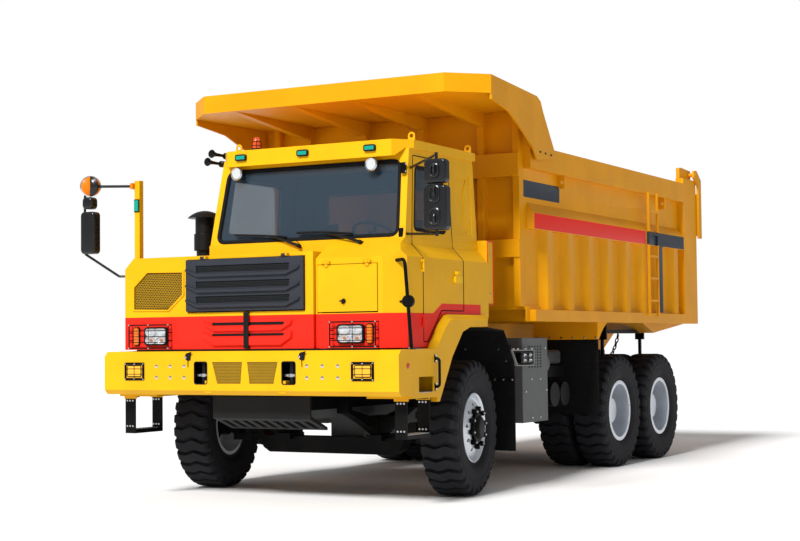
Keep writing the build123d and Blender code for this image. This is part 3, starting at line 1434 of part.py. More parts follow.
def bed_side():
    """Left side: sheet, bottom rail, trapezoid ribs, band, top rail and rear post."""
    f, r = BED_FRONT_Y, BED_REAR_Y
    w, t, out = BED_WALL_X, BED_SHEET_T, BED_RAIL_X
    shape = box(w - t, w, f + t, r, BED_FLOOR_Z, BED_TOP_Z)
    rail_front = f + 105
    bottom = box(w, out, rail_front, r, BED_RAIL_Z0, BED_RAIL_Z1)
    shape += bottom + box(w, w + 20, f + t, r, BED_RAIL_Z0, BED_FLOOR_Z + 10)
    top = box(w - 20, out, f + t, r, BED_TOP_Z - BED_TOP_RAIL_H, BED_TOP_Z)
    shape += top
    band = [
        (w, BED_BAND_Z0),
        (out, BED_BAND_Z0),
        (out, BED_BAND_Z1),
        (w, BED_BAND_Z1 + BED_BAND_SLOPE),
    ]
    shape += prism_y(band, f + 95, POST_FRONT_Y)
    for i in range(RIB_COUNT):
        y = RIB_FIRST_Y + i * RIB_PITCH
        plan = [
            (w, y - RIB_FOOT / 2),
            (out - 12, y - RIB_FACE / 2),
            (out - 12, y + RIB_FACE / 2),
            (w, y + RIB_FOOT / 2),
        ]
        shape += prism_z(plan, BED_RAIL_Z1, BED_BAND_Z0)
    shape += box(w, out, POST_FRONT_Y, r, BED_RAIL_Z1, POST_Z1)
    shape += box(w - t, w, POST_FRONT_Y, r, BED_TOP_Z, POST_Z1)
    ear = [
        (GATE_PIN_Y - 420, POST_Z1 - 40),
        (GATE_PIN_Y - 420, GATE_PIN_Z + 70),
        (GATE_PIN_Y - 340, GATE_PIN_Z + 80),
        (GATE_PIN_Y + 60, GATE_PIN_Z + 60),
        (GATE_PIN_Y + 60, POST_Z1 - 40),
    ]
    pin = drum_x(w - 20, out + GATE_ARM_T + 14, GATE_PIN_Y, GATE_PIN_Z, GATE_PIN_R)
    shape += prism_x(ear, w - 20, w + 30) + pin
    for y in (FRONT_AXLE_Y + 2386, FRONT_AXLE_Y + 5842):
        lug = box(w, out + 4, y - 12, y + 12, BED_TOP_Z - BED_TOP_RAIL_H - 150, BED_TOP_Z - BED_TOP_RAIL_H)
        lug -= drum_y((w + out) / 2 + 10, y - 20, y + 20, BED_TOP_Z - BED_TOP_RAIL_H - 80, 22)
        shape += lug
    return shape


def bed_ladder():
    """Climbing ladder on the left side near the tail."""
    y0, y1 = FRONT_AXLE_Y + 5120, FRONT_AXLE_Y + 5486
    x0, x1 = BED_RAIL_X, BED_RAIL_X + 30
    shape = box(x0, x1, y0, y0 + 30, BED_RAIL_Z1 - 40, 3480)
    shape += box(x0, x1, y1 - 30, y1, BED_RAIL_Z1 - 40, 3480)
    for z in range(2050, 3450, 290):
        shape += box(x0, x1, y0, y1, z, z + 26)
    return shape


def bed_front_wall():
    """Front wall with two box beams, upright ribs and its upper part to the canopy."""
    f, t = BED_FRONT_Y, BED_SHEET_T
    shape = box(-BED_WALL_X, BED_WALL_X, f, f + t, BED_FLOOR_Z, CANOPY_Z0)
    for z0, z1 in ((2471, 2669), (3360, 3615)):
        shape += box(-BED_WALL_X, BED_WALL_X, f - 110, f, z0, z1)
    for x in (-1550, *CANOPY_RIB_XS, 1550):
        shape += box(x - 40, x + 40, f - WALL_RIB_D, f, BED_FLOOR_Z, CANOPY_Z0)
    return shape


def bed_canopy():
    """Canopy over the cab: plate, upstand, tapered ribs and slanted side plates."""
    z0, z1, t = CANOPY_Z0, CANOPY_Z1, CANOPY_T
    foot_x = BED_RAIL_X + 0.3
    f = BED_FRONT_Y

    def plan(inset):
        slope = (CANOPY_SIDE_X - foot_x - t) / (CANOPY_REAR_Y - CANOPY_CORNER_Y)
        rear_x = foot_x + t + slope * (CANOPY_REAR_Y - (f + 60))
        return [
            (inset - CANOPY_FRONT_X, CANOPY_FRONT_Y + inset),
            (CANOPY_FRONT_X - inset, CANOPY_FRONT_Y + inset),
            (CANOPY_SIDE_X - inset, CANOPY_CORNER_Y + inset * 0.4),
            (rear_x - inset, f + 60),
            (inset - rear_x, f + 60),
            (inset - CANOPY_SIDE_X, CANOPY_CORNER_Y + inset * 0.4),
        ]

    shape = prism_z(plan(0), z0, z0 + t)
    rim_front = prism_z(plan(0), z0, z1) - prism_z(plan(t), z0 - 5, z1 + 5)
    rim_front -= box(-1900, 1900, CANOPY_CORNER_Y + 20, f + 100, z0 - 5, z1 + 5)
    shape += rim_front
    side_outline = [
        (CANOPY_CORNER_Y + 5, z1),
        (FRONT_AXLE_Y + 1480, z1 - 35),
        (FRONT_AXLE_Y + 1600, z1 - 80),
        (FRONT_AXLE_Y + 1680, z1 - 190),
        (CANOPY_REAR_Y, BED_TOP_Z - 20),
        (CANOPY_REAR_Y, CANOPY_FOOT_Z + 60),
        (FRONT_AXLE_Y + 1470, CANOPY_FOOT_Z),
        (FRONT_AXLE_Y + 1330, CANOPY_FOOT_Z + 120),
        (FRONT_AXLE_Y + 990, 3810),
        (FRONT_AXLE_Y + 600, 3960),
        (CANOPY_CORNER_Y + 5, z0 - 60),
    ]
    side_band = prism_z([
        (CANOPY_SIDE_X, CANOPY_CORNER_Y),
        (foot_x + t, CANOPY_REAR_Y),
        (foot_x, CANOPY_REAR_Y),
        (CANOPY_SIDE_X - t, CANOPY_CORNER_Y),
    ], 3400, 4400)
    side_plate = prism_x(side_outline, 1600, 1900) & side_band
    shape += side_plate + mirrored(side_plate)
    for x in CANOPY_RIB_XS:
        root = f - WALL_RIB_D
        rib = prism_x([(CANOPY_FRONT_Y + t, z0), (root, z0), (root, z0 - 150)], x - 45, x + 45)
        shape += rib
    return shape


EJECTOR_BACK = (440, 350)


def bed_mudguards():
    """Plate and rubber flap ahead of the rear wheels, hung from the bed."""
    y = REAR_AXLE_YS[0] - TYRE_R - 75
    plate = box(830, 1670, y - 10, y, 1520, BED_RAIL_Z0)
    flap = box(950, 1670, y, y + 10, 670, 1560)
    reach = (y + GUSSET_REACH, BED_RAIL_Z0)
    curve = ThreePointArc((0, y, 1530), (0, y + GUSSET_REACH * 0.4, 1660), (0, *reach))
    edge = curve + Polyline((0, *reach), (0, y, BED_RAIL_Z0), (0, y, 1530))
    gusset = Pos(1658, 0, 0) * extrude(make_face(edge), amount=12, dir=(1, 0, 0))
    return both_sides(plate + flap + gusset)


GUSSET_REACH = 330


def rock_ejectors():
    """Bar hung between each pair of twin tyres."""
    gap_x = REAR_OUTER_X - DUAL_SPACING / 2
    made = []
    for y, foot in zip(REAR_AXLE_YS, EJECTOR_BACK):
        shape = box(gap_x - 18, gap_x + 18, y + foot, y + foot + 40, 1000, SILL_TOP_Z)
        shape += box(gap_x - 60, gap_x + 60, y + foot, y + foot + 40, 1560, SILL_TOP_Z)
        shape -= tail_box()
        made += [shape, mirrored(shape)]
    return Compound(children=made)


def tailgate():
    """Ribbed gate with two arms up to the hinge pins."""
    y0 = BED_REAR_Y + GATE_GAP
    y1 = FRONT_AXLE_Y + REAR_OVERHANG
    sheet = y0 + 20
    w = GATE_HALF_W
    shape = box(-w, w, y0, sheet, GATE_Z0, GATE_Z1)
    for z in (GATE_Z0, (GATE_Z0 + GATE_Z1) / 2 - 60, GATE_Z1 - 120):
        shape += box(-w, w, sheet, y1 - 20, z, z + 120)
    for x in (-1200, -600, 0, 600, 1200):
        shape += box(x - 50, x + 50, sheet, y1 - 30, GATE_Z0, GATE_Z1)
    arm = [
        (y0 + 10, GATE_ARM_FOOT_Z),
        (y1, GATE_ARM_FOOT_Z),
        (y1, GATE_PIN_Z - 60),
        (GATE_PIN_Y + 50, GATE_PIN_Z + 65),
        (GATE_PIN_Y - 60, GATE_PIN_Z + 55),
        (GATE_PIN_Y - 70, GATE_PIN_Z - 40),
        (y0 + 10, GATE_PIN_Z - 150),
    ]
    x0 = BED_RAIL_X + 6
    plate = prism_x(arm, x0, x0 + GATE_ARM_T)
    plate -= drum_x(x0 - 10, x0 + GATE_ARM_T + 10, GATE_PIN_Y, GATE_PIN_Z, GATE_PIN_R + PIN_GAP)
    plate += box(w - 30, x0, y0 + 14, y1 - 20, GATE_ARM_FOOT_Z + 40, GATE_Z1)
    return shape + plate + mirrored(plate)


# Hoist

HOIST_ANGLE = degrees(atan2(HOIST_TOP_Z - HOIST_LOW_Z, HOIST_TOP_Y - HOIST_LOW_Y))
HOIST_LENGTH = hypot(HOIST_TOP_Z - HOIST_LOW_Z, HOIST_TOP_Y - HOIST_LOW_Y)


def on_hoist(shape):
    """A piece built along +Y from the lower pin, laid along the cylinder."""
    return Pos(HOIST_X, HOIST_LOW_Y, HOIST_LOW_Z) * Rot(HOIST_ANGLE, 0, 0) * shape


def hoist_barrels():
    """Cylinder barrels on their lower pins."""
    end = HOIST_LENGTH - BARREL_END
    shape = drum_y(0, 60, end, 0, BARREL_R)
    shape += drum_x(-55, 55, 0, 0, HOIST_EYE_R)
    shape -= drum_x(-80, 80, 0, 0, 32 + PIN_GAP)
    shape -= drum_y(0, 130, end + 10, 0, ROD_R + PIN_GAP)
    return both_sides(on_hoist(shape))


def hoist_rods():
    """Cylinder rods with the eye at the bed."""
    shape = drum_y(0, 140, HOIST_LENGTH, 0, ROD_R)
    shape += drum_x(-50, 50, HOIST_LENGTH, 0, HOIST_EYE_R)
    shape -= drum_x(-80, 80, HOIST_LENGTH, 0, 34)
    return both_sides(on_hoist(shape))


def main():
    """Build every piece and write one STEP for each."""
    parts = {
        "frame_rails": frame_rails(),
        "front_bumper": front_bumper(),
        "lamps": lamps(),
        "front_axle_beam": front_axle_beam(),
        "suspension": suspension(),
        "knuckle_left": knuckle(1),
        "knuckle_right": knuckle(-1),
        "tie_rod": tie_rod(),
        "engine_and_gearbox": engine_and_gearbox(),
        "radiator": radiator(),
        "radiator_guard": radiator_guard(),
        "prop_shafts": prop_shafts(),
        "rear_axles": rear_axles(),
        "hood_shell": hood_shell(),
        "grille_lid": grille_lid(),
        "front_hatch": front_hatch(),
        **cab_panels(cab_body()),
        "cab_glass": cab_glass(),
        "cab_door": cab_door(),
        "door_glass": door_glass(),
        "seats": seats(),
        "dashboard": dashboard(),
        "steering_wheel": steering_wheel(),
        "roof_lights": roof_lights(),
        "handrails": handrails(),
        "mirrors": mirrors(),
        "air_intake": air_intake(),
        "fenders": both_sides(fender()),
        "front_mudguards": front_mudguards(),
        "front_steps": front_steps(),
        "exhaust_box": exhaust_box(),
        "air_tanks": air_tanks(),
        "fuel_tank": fuel_tank(),
        "bed_floor": bed_floor(),
        "bed_sills": bed_sills(),
        "bed_side_left": bed_side() + bed_ladder(),
        "bed_side_right": mirrored(bed_side()),
        "bed_front_wall": bed_front_wall(),
        "bed_canopy": bed_canopy(),
        "bed_mudguards": bed_mudguards(),
        "rock_ejectors": rock_ejectors(),
        "tailgate": tailgate(),
        "hoist_barrels": hoist_barrels(),
        "hoist_rods": hoist_rods(),
    }
    for side, word in ((1, "left"), (-1, "right")):
        y = FRONT_AXLE_Y
        parts[f"tyre_front_{word}"] = steered(placed(tyre(), side, FRONT_WHEEL_X, y), side)
        parts[f"rim_front_{word}"] = steered(placed(front_rim(), side, FRONT_WHEEL_X, y), side)
        for number, y in enumerate(REAR_AXLE_YS, start=1):
            pair = [placed(tyre(), side, REAR_OUTER_X, y), placed(tyre(), side, REAR_INNER_X, y)]
            parts[f"tyres_rear_{word}_{number}"] = Compound(children=pair)
            parts[f"rims_rear_{word}_{number}"] = placed(rear_rims(), side, REAR_OUTER_X, y)
    os.makedirs("parts", exist_ok=True)
    for name, shape in parts.items():
        export_step(shape, f"parts/{name}.step")


main()
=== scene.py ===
import json
import logging
import math
from dataclasses import dataclass
from enum import Enum
from typing import Sequence, Union

import bmesh
import bpy
import numpy as np
from mathutils import Matrix, Vector

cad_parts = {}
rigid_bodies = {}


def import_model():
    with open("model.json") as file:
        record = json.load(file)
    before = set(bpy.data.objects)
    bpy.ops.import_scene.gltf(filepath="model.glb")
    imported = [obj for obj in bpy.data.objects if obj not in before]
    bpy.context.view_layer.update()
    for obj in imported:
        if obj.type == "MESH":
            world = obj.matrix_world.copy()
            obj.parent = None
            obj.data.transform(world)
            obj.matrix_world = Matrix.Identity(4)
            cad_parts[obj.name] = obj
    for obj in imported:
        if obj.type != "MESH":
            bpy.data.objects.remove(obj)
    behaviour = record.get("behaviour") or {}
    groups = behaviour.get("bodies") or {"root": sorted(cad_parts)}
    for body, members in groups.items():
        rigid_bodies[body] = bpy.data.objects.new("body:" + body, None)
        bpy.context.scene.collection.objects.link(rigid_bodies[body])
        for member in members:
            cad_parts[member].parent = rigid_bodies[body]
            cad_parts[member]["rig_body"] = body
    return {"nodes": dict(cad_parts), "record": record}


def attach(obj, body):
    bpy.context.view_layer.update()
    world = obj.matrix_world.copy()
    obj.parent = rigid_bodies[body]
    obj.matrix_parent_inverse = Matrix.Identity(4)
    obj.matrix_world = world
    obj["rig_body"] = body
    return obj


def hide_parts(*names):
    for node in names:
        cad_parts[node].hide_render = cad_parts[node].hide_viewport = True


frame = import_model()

LOG = logging.getLogger("dump_truck")
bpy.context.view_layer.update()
FRONT_AXLE_Y = -2.8
TAU = 2.0 * math.pi
AXIS = 0.0003  # radius at which a turned profile meets its axis
Colour = tuple[float, float, float]


def srgb(red: int, green: int, blue: int) -> Colour:
    """Scene-linear colour of a screen colour.

    Args:
        red: Red, 0 to 255.
        green: Green, 0 to 255.
        blue: Blue, 0 to 255.

    Returns:
        The three linear values.
    """
    values = np.array([red, green, blue]) / 255.0
    linear = np.where(values <= 0.04045, values / 12.92, ((values + 0.055) / 1.055) ** 2.4)
    return tuple(float(v) for v in linear)


# Shapes as whole arrays


@dataclass
class Shape:
    """Points and faces of a mesh in the making."""

    points: np.ndarray
    faces: list[list[int]]

    @staticmethod
    def joined(shapes: Sequence["Shape"]) -> "Shape":
        """One shape that holds all the given ones."""
        starts = np.cumsum([0] + [len(s.points) for s in shapes[:-1]])
        faces = [[i + int(start) for i in f] for s, start in zip(shapes, starts) for f in s.faces]
        return Shape(np.concatenate([s.points for s in shapes]), faces)

    def moved(self, x: float = 0.0, y: float = 0.0, z: float = 0.0) -> "Shape":
        """The shape shifted by x, y and z."""
        return Shape(self.points + np.array([x, y, z]), self.faces)

    def turned(self, axis: str, degrees: float) -> "Shape":
        """The shape turned about X, Y or Z through the origin, by the right-hand rule."""
        matrix = np.array(Matrix.Rotation(math.radians(degrees), 3, axis))
        return Shape(self.points @ matrix.T, self.faces)

    def mirrored(self) -> "Shape":
        """The shape's image on the other side of the truck, its faces turned back outwards."""
        return Shape(self.points * np.array([-1.0, 1.0, 1.0]), [f[::-1] for f in self.faces])

    def both(self) -> "Shape":
        """The shape and its mirror image."""
        return Shape.joined([self, self.mirrored()])

    def copies(self, offsets: np.ndarray) -> "Shape":
        """A copy of the shape at each offset.

        Args:
            offsets: One row of x, y, z for each copy.

        Returns:
            All the copies as one shape.
        """
        offsets = np.asarray(offsets, float).reshape(-1, 3)
        points = (self.points[None] + offsets[:, None]).reshape(-1, 3)
        count = len(self.points)
        faces = [[i + count * k for i in f] for k in range(len(offsets)) for f in self.faces]
        return Shape(points, faces)


def grid(points: np.ndarray, wrap_u: bool = False, wrap_v: bool = False) -> Shape:
    """Sheet of quads over a grid of points.

    Args:
        points: Array of nu by nv points.
        wrap_u: Whether the last row joins the first.
        wrap_v: Whether the last column joins the first.

    Returns:
        The sheet, its faces turning from u towards v.
    """
    nu, nv = points.shape[:2]
    index = np.arange(nu * nv).reshape(nu, nv)
    rows = np.vstack([index, index[:1]]) if wrap_u else index
    rows = np.hstack([rows, rows[:, :1]]) if wrap_v else rows
    quads = np.stack([rows[:-1, :-1], rows[1:, :-1], rows[1:, 1:], rows[:-1, 1:]], axis=-1)
    return Shape(points.reshape(-1, 3), quads.reshape(-1, 4).tolist())


def lathe(profile: Sequence[tuple[float, float]], segments: int) -> Shape:
    """Closed profile of (x, radius) turned about the X axis.

    The point at angle a is (x, radius cos a, radius sin a).
    """
    x, radius = np.array(profile, float).T
    angle = np.linspace(0.0, TAU, segments, endpoint=False)[:, None]
    points = np.stack([x + 0 * angle, radius * np.cos(angle), radius * np.sin(angle)], axis=-1)
    return grid(points, wrap_u=True, wrap_v=True)


def drum(x0: float, x1: float, radius: float, segments: int = 24, edge: float = 0.0) -> Shape:
    """Round block along X, its rims bevelled by edge."""
    profile = [(x0, radius * 0.02), (x0, radius - edge), (x0 + edge, radius)]
    profile += [(x1 - edge, radius), (x1, radius - edge), (x1, radius * 0.02)]
    return lathe(profile, segments)


def anticlockwise(outline: Sequence[Sequence[float]]) -> np.ndarray:
    """An outline's corners as rows, in the order that gives it a positive area.

    Twice the area is the sum of x0 z1 - x1 z0 over the edges.
    """
    flat = np.array(outline, float)
    area = np.sum(flat[:, 0] * np.roll(flat[:, 1], -1) - np.roll(flat[:, 0], -1) * flat[:, 1])
    return flat if area > 0 else flat[::-1]


def slab(outline: Sequence[tuple[float, float]], depth: float, edge: float = 0.002) -> Shape:
    """Plate with a closed (x, z) outline, from y = 0 to y = depth, its edges bevelled.

    Each outline corner is moved inwards along its mitre, which is the sum of the two edge
    normals over one plus their product.
    """
    flat = anticlockwise(outline)
    along = np.roll(flat, -1, axis=0) - flat
    along /= np.linalg.norm(along, axis=1, keepdims=True)
    inward = np.stack([-along[:, 1], along[:, 0]], axis=1)
    before = np.roll(inward, 1, axis=0)
    mitre = (inward + before) / (1.0 + np.sum(inward * before, axis=1, keepdims=True))
    rings = []
    for inset, y in ((edge, 0.0), (0.0, edge), (0.0, depth - edge), (edge, depth)):
        ring = flat + mitre * inset
        rings.append(np.stack([ring[:, 0], np.full(len(ring), y), ring[:, 1]], axis=1))
    shape = grid(np.array(rings), wrap_v=True)
    count = len(flat)
    shape.faces.append(list(range(count))[::-1])
    shape.faces.append([3 * count + i for i in range(count)])
    return Shape(shape.points, [f[::-1] for f in shape.faces])


def block(x: Sequence[float], y: Sequence[float], z: Sequence[float], edge: float = 0.002) -> Shape:
    """Box between three pairs of limits with bevelled edges."""
    outline = [(x[0], z[0]), (x[1], z[0]), (x[1], z[1]), (x[0], z[1])]
    return slab(outline, y[1] - y[0], edge).moved(y=y[0])


def smooth_path(corners: Sequence[Sequence[float]], bend: float, steps: int = 6) -> np.ndarray:
    """Path along straight runs whose corners are rounded.

    Each inner corner becomes a quadratic arc from bend before it to bend after it:
    (1-t)^2 a + 2t(1-t) corner + t^2 b.
    """
    pts = np.array(corners, float)
    t = np.linspace(0.0, 1.0, steps)[:, None]
    parts = [pts[:1]]
    for before, corner, after in zip(pts[:-2], pts[1:-1], pts[2:]):
        a = corner + (before - corner) * min(1.0, bend / np.linalg.norm(before - corner))
        b = corner + (after - corner) * min(1.0, bend / np.linalg.norm(after - corner))
        parts.append((1 - t) ** 2 * a + 2 * t * (1 - t) * corner + t**2 * b)
    return np.concatenate(parts + [pts[-1:]])


def tube(path: np.ndarray, radius: Union[float, np.ndarray], sides: int = 12) -> Shape:
    """Round bar along a path, capped at both ends.

    Each ring lies in the plane square to the path, at centre + radius (cos a side + sin a up).
    """
    path = np.asarray(path, float)
    tangent = np.gradient(path, axis=0)
    tangent /= np.linalg.norm(tangent, axis=1, keepdims=True)
    hint = np.array([0.0, 0.0, 1.0]) if abs(tangent[0, 2]) < 0.9 else np.array([1.0, 0.0, 0.0])
    side = np.cross(tangent, hint)
    weak = np.linalg.norm(side, axis=1) < 0.2
    side[weak] = np.cross(tangent[weak], np.array([0.3, 0.9, 0.1]))
    for k in range(1, len(side)):
        side[k] = side[k - 1] - tangent[k] * (side[k - 1] @ tangent[k])
    side /= np.linalg.norm(side, axis=1, keepdims=True)
    up = np.cross(tangent, side)
    angle = np.linspace(0.0, TAU, sides, endpoint=False)
    radius = np.broadcast_to(np.asarray(radius, float), (len(path),))[:, None, None]
    ring = side[:, None] * np.cos(angle)[None, :, None] + up[:, None] * np.sin(angle)[None, :, None]
    shape = grid(path[:, None] + radius * ring, wrap_v=True)
    last = sides * (len(path) - 1)
    shape.faces.append(list(range(sides))[::-1])
    shape.faces.append([last + i for i in range(sides)])
    return shape


def round_box(size: Sequence[float], radius: float, steps: int = 4) -> Shape:
    """Box with round edges and corners, centred on the origin.

    A point is the nearer corner of the inner box plus radius times the unit direction.
    """
    quarter = np.linspace(0.0, math.pi / 2, steps)
    around = np.concatenate([quarter + k * math.pi / 2 for k in range(4)])
    rise = np.concatenate([quarter - math.pi / 2, quarter])
    sx = np.repeat([1, -1, -1, 1], steps)[None, :]
    sy = np.repeat([1, 1, -1, -1], steps)[None, :]
    sz = np.repeat([-1, 1], steps)[:, None]
    inner = np.array(size) / 2 - radius
    flat = np.cos(rise)[:, None]
    x = sx * inner[0] + radius * flat * np.cos(around)[None, :]
    y = sy * inner[1] + radius * flat * np.sin(around)[None, :]
    z = sz * inner[2] + radius * np.sin(rise)[:, None] + 0 * x
    shape = grid(np.stack([x, y, z], axis=-1), wrap_v=True)
    count = 4 * steps
    shape.faces.append(list(range(count)))
    shape.faces.append([count * (2 * steps - 1) + i for i in range(count)][::-1])
    return Shape(shape.points, [f[::-1] for f in shape.faces])


def hex_head(radius: float, height: float) -> Shape:
    """Bolt head pointing along +X: a six-sided prism with a bevelled crown."""
    profile = [(0.0, radius * 0.02), (0.0, radius), (height * 0.75, radius)]
    profile += [(height, radius * 0.84), (height, radius * 0.02)]
    return lathe(profile, 6)


def facing(shape: Shape, direction: str) -> Shape:
    """A shape built along +X, turned to point along +y, -y or +z."""
    turns = {"+y": ("Z", 90.0), "-y": ("Z", -90.0), "+z": ("Y", -90.0)}
    return shape.turned(*turns[direction])


def rounded(
    outline: Sequence[Sequence[float]], radius: float, steps: int = 6) -> tuple[np.ndarray, np.ndarray]:
    """Closed (x, z) loop with round corners, and its outward normals.

    Each corner becomes the quadratic arc (1-t)^2 a + 2t(1-t) corner + t^2 b, where a and b
    lie a radius before and after it. The normal is the loop's direction turned by a quarter.

    Args:
        outline: The corners in order.
        radius: How far from a corner its arc begins.
        steps: Points of each arc.

    Returns:
        The loop and its normals, a row for each point.
    """
    flat = anticlockwise(outline)
    back, ahead = np.roll(flat, 1, axis=0) - flat, np.roll(flat, -1, axis=0) - flat
    a = flat + back / np.linalg.norm(back, axis=1, keepdims=True) * radius
    b = flat + ahead / np.linalg.norm(ahead, axis=1, keepdims=True) * radius
    t = np.linspace(0.0, 1.0, steps)[None, :, None]
    loop = ((1 - t) ** 2 * a[:, None] + 2 * t * (1 - t) * flat[:, None] + t**2 * b[:, None]).reshape(-1, 2)
    along = np.roll(loop, -1, axis=0) - np.roll(loop, 1, axis=0)
    along /= np.linalg.norm(along, axis=1, keepdims=True)
    return loop, np.stack([along[:, 1], -along[:, 0]], axis=1)


def moulding(
    outline: Sequence[Sequence[float]], radius: float, section: Sequence[tuple[float, float]]) -> Shape:
    """Strip that follows a closed outline on a front wall at y = 0.

    Each (out, up) pair of the section gives a ring at loop + normal * out, up in front of the wall.
    """
    loop, normal = rounded(outline, radius)
    rings = []
    for out, up in section:
        ring = loop + normal * out
        rings.append(np.stack([ring[:, 0], np.full(len(ring), -up), ring[:, 1]], axis=1))
    return grid(np.array(rings), wrap_u=True, wrap_v=True)


def pad(outline: Sequence[Sequence[float]], radius: float, depth: float, edge: float = 0.002) -> Shape:
    """Plate on a front wall at y = 0 with round corners, standing out by depth."""
    return slab(rounded(outline, radius)[0].tolist(), depth, edge).moved(y=-depth)


def perforated(outline: Sequence[Sequence[float]], pitch: float, share: float = 0.66) -> Shape:
    """Sheet at y = 0 with six-sided holes in staggered rows.

    Each cell is a six-sided ring: outer corners at pitch / sqrt 3 from its centre, inner ones
    at share times that. A cell stays where its centre is inside the outline, which holds when
    an upward ray crosses an odd number of the outline's edges.
    """
    corners = np.array(outline, float)
    low, high = corners.min(axis=0), corners.max(axis=0)
    row = pitch * 0.866
    nx, nz = (np.ceil((high - low) / (pitch, row)) + 1).astype(int)
    i, j = np.meshgrid(np.arange(nx), np.arange(nz), indexing="ij")
    x = (low[0] + pitch * (i + 0.5 * (j % 2))).ravel()
    z = (low[1] + row * j).ravel()
    ends = np.roll(corners, -1, axis=0)
    spans = (corners[:, 0] > x[:, None]) != (ends[:, 0] > x[:, None])
    run = np.where(ends[:, 0] == corners[:, 0], 1e9, ends[:, 0] - corners[:, 0])
    slope = (ends[:, 1] - corners[:, 1]) / run
    height = corners[:, 1] + (x[:, None] - corners[:, 0]) * slope
    inside = (spans & (height > z[:, None])).sum(axis=1) % 2 == 1
    centre = np.stack([x, 0 * x, z], axis=1)[inside]
    angle = math.pi / 2 + np.arange(6) * TAU / 6
    ring = np.stack([np.cos(angle), 0 * angle, np.sin(angle)], axis=1) * pitch / math.sqrt(3.0)
    cell = np.concatenate([ring, ring * share])
    k = np.arange(6)
    after = (k + 1) % 6
    faces = np.stack([k, after, after + 6, k + 6], axis=1).tolist()
    return Shape(cell, faces).copies(centre)


@dataclass(frozen=True)
class Wall:
    """Flat wall on which shapes for a front wall are set.

    A shape's x runs along right, its z along up and its y into the wall.
    """

    origin: tuple[float, float, float]
    right: tuple[float, float, float] = (1.0, 0.0, 0.0)
    up: tuple[float, float, float] = (0.0, 0.0, 1.0)

    @classmethod
    def front(cls, y: float) -> "Wall":
        """Upright wall that faces forwards."""
        return cls((0.0, y, 0.0))

    @classmethod
    def back(cls, y: float, x: float = 0.0) -> "Wall":
        """Upright wall that faces backwards."""
        return cls((x, y, 0.0), (-1.0, 0.0, 0.0))

    @classmethod
    def left(cls, x: float) -> "Wall":
        """Upright wall that faces the truck's left."""
        return cls((x, 0.0, 0.0), (0.0, 1.0, 0.0))

    def set(self, shape: Shape) -> Shape:
        """The shape moved onto the wall."""
        right, up = (np.array(v) / np.linalg.norm(v) for v in (self.right, self.up))
        axes = np.stack([right, -np.cross(right, up), up])
        return Shape(shape.points @ axes + np.array(self.origin), shape.faces)


# Shader expressions


class Value:
    """A shader socket that takes part in Python arithmetic."""

    def __init__(self, shader: "Shader", socket: bpy.types.NodeSocket) -> None:
        self.shader = shader
        self.socket = socket

    def __add__(self, other: "Number") -> "Value":
        """Sum."""
        return self.shader.math("ADD", self, other)

    __radd__ = __add__

    def __mul__(self, other: "Number") -> "Value":
        """Product."""
        return self.shader.math("MULTIPLY", self, other)

    __rmul__ = __mul__

    def __sub__(self, other: "Number") -> "Value":
        """Difference."""
        return self.shader.math("SUBTRACT", self, other)

    def __rsub__(self, other: "Number") -> "Value":
        """Difference, the other way round."""
        return self.shader.math("SUBTRACT", other, self)

    def __gt__(self, other: "Number") -> "Value":
        """One where this is greater, else zero."""
        return self.shader.math("GREATER_THAN", self, other)

    def __lt__(self, other: "Number") -> "Value":
        """One where this is less, else zero."""
        return self.shader.math("LESS_THAN", self, other)

    def absolute(self) -> "Value":
        """Size without sign."""
        return self.shader.math("ABSOLUTE", self)

    def between(self, low: float, high: float) -> "Value":
        """One inside the limits, else zero."""
        return (self > low) * (self < high)

    def ramp(self, low: float, high: float) -> "Value":
        """Rise from zero at low to one at high, held outside."""
        node = self.shader.node(
            "ShaderNodeMapRange", {"interpolation_type": "SMOOTHSTEP"}, {0: self, 1: low, 2: high})
        return Value(self.shader, node.outputs[0])


Number = Union[Value, float]


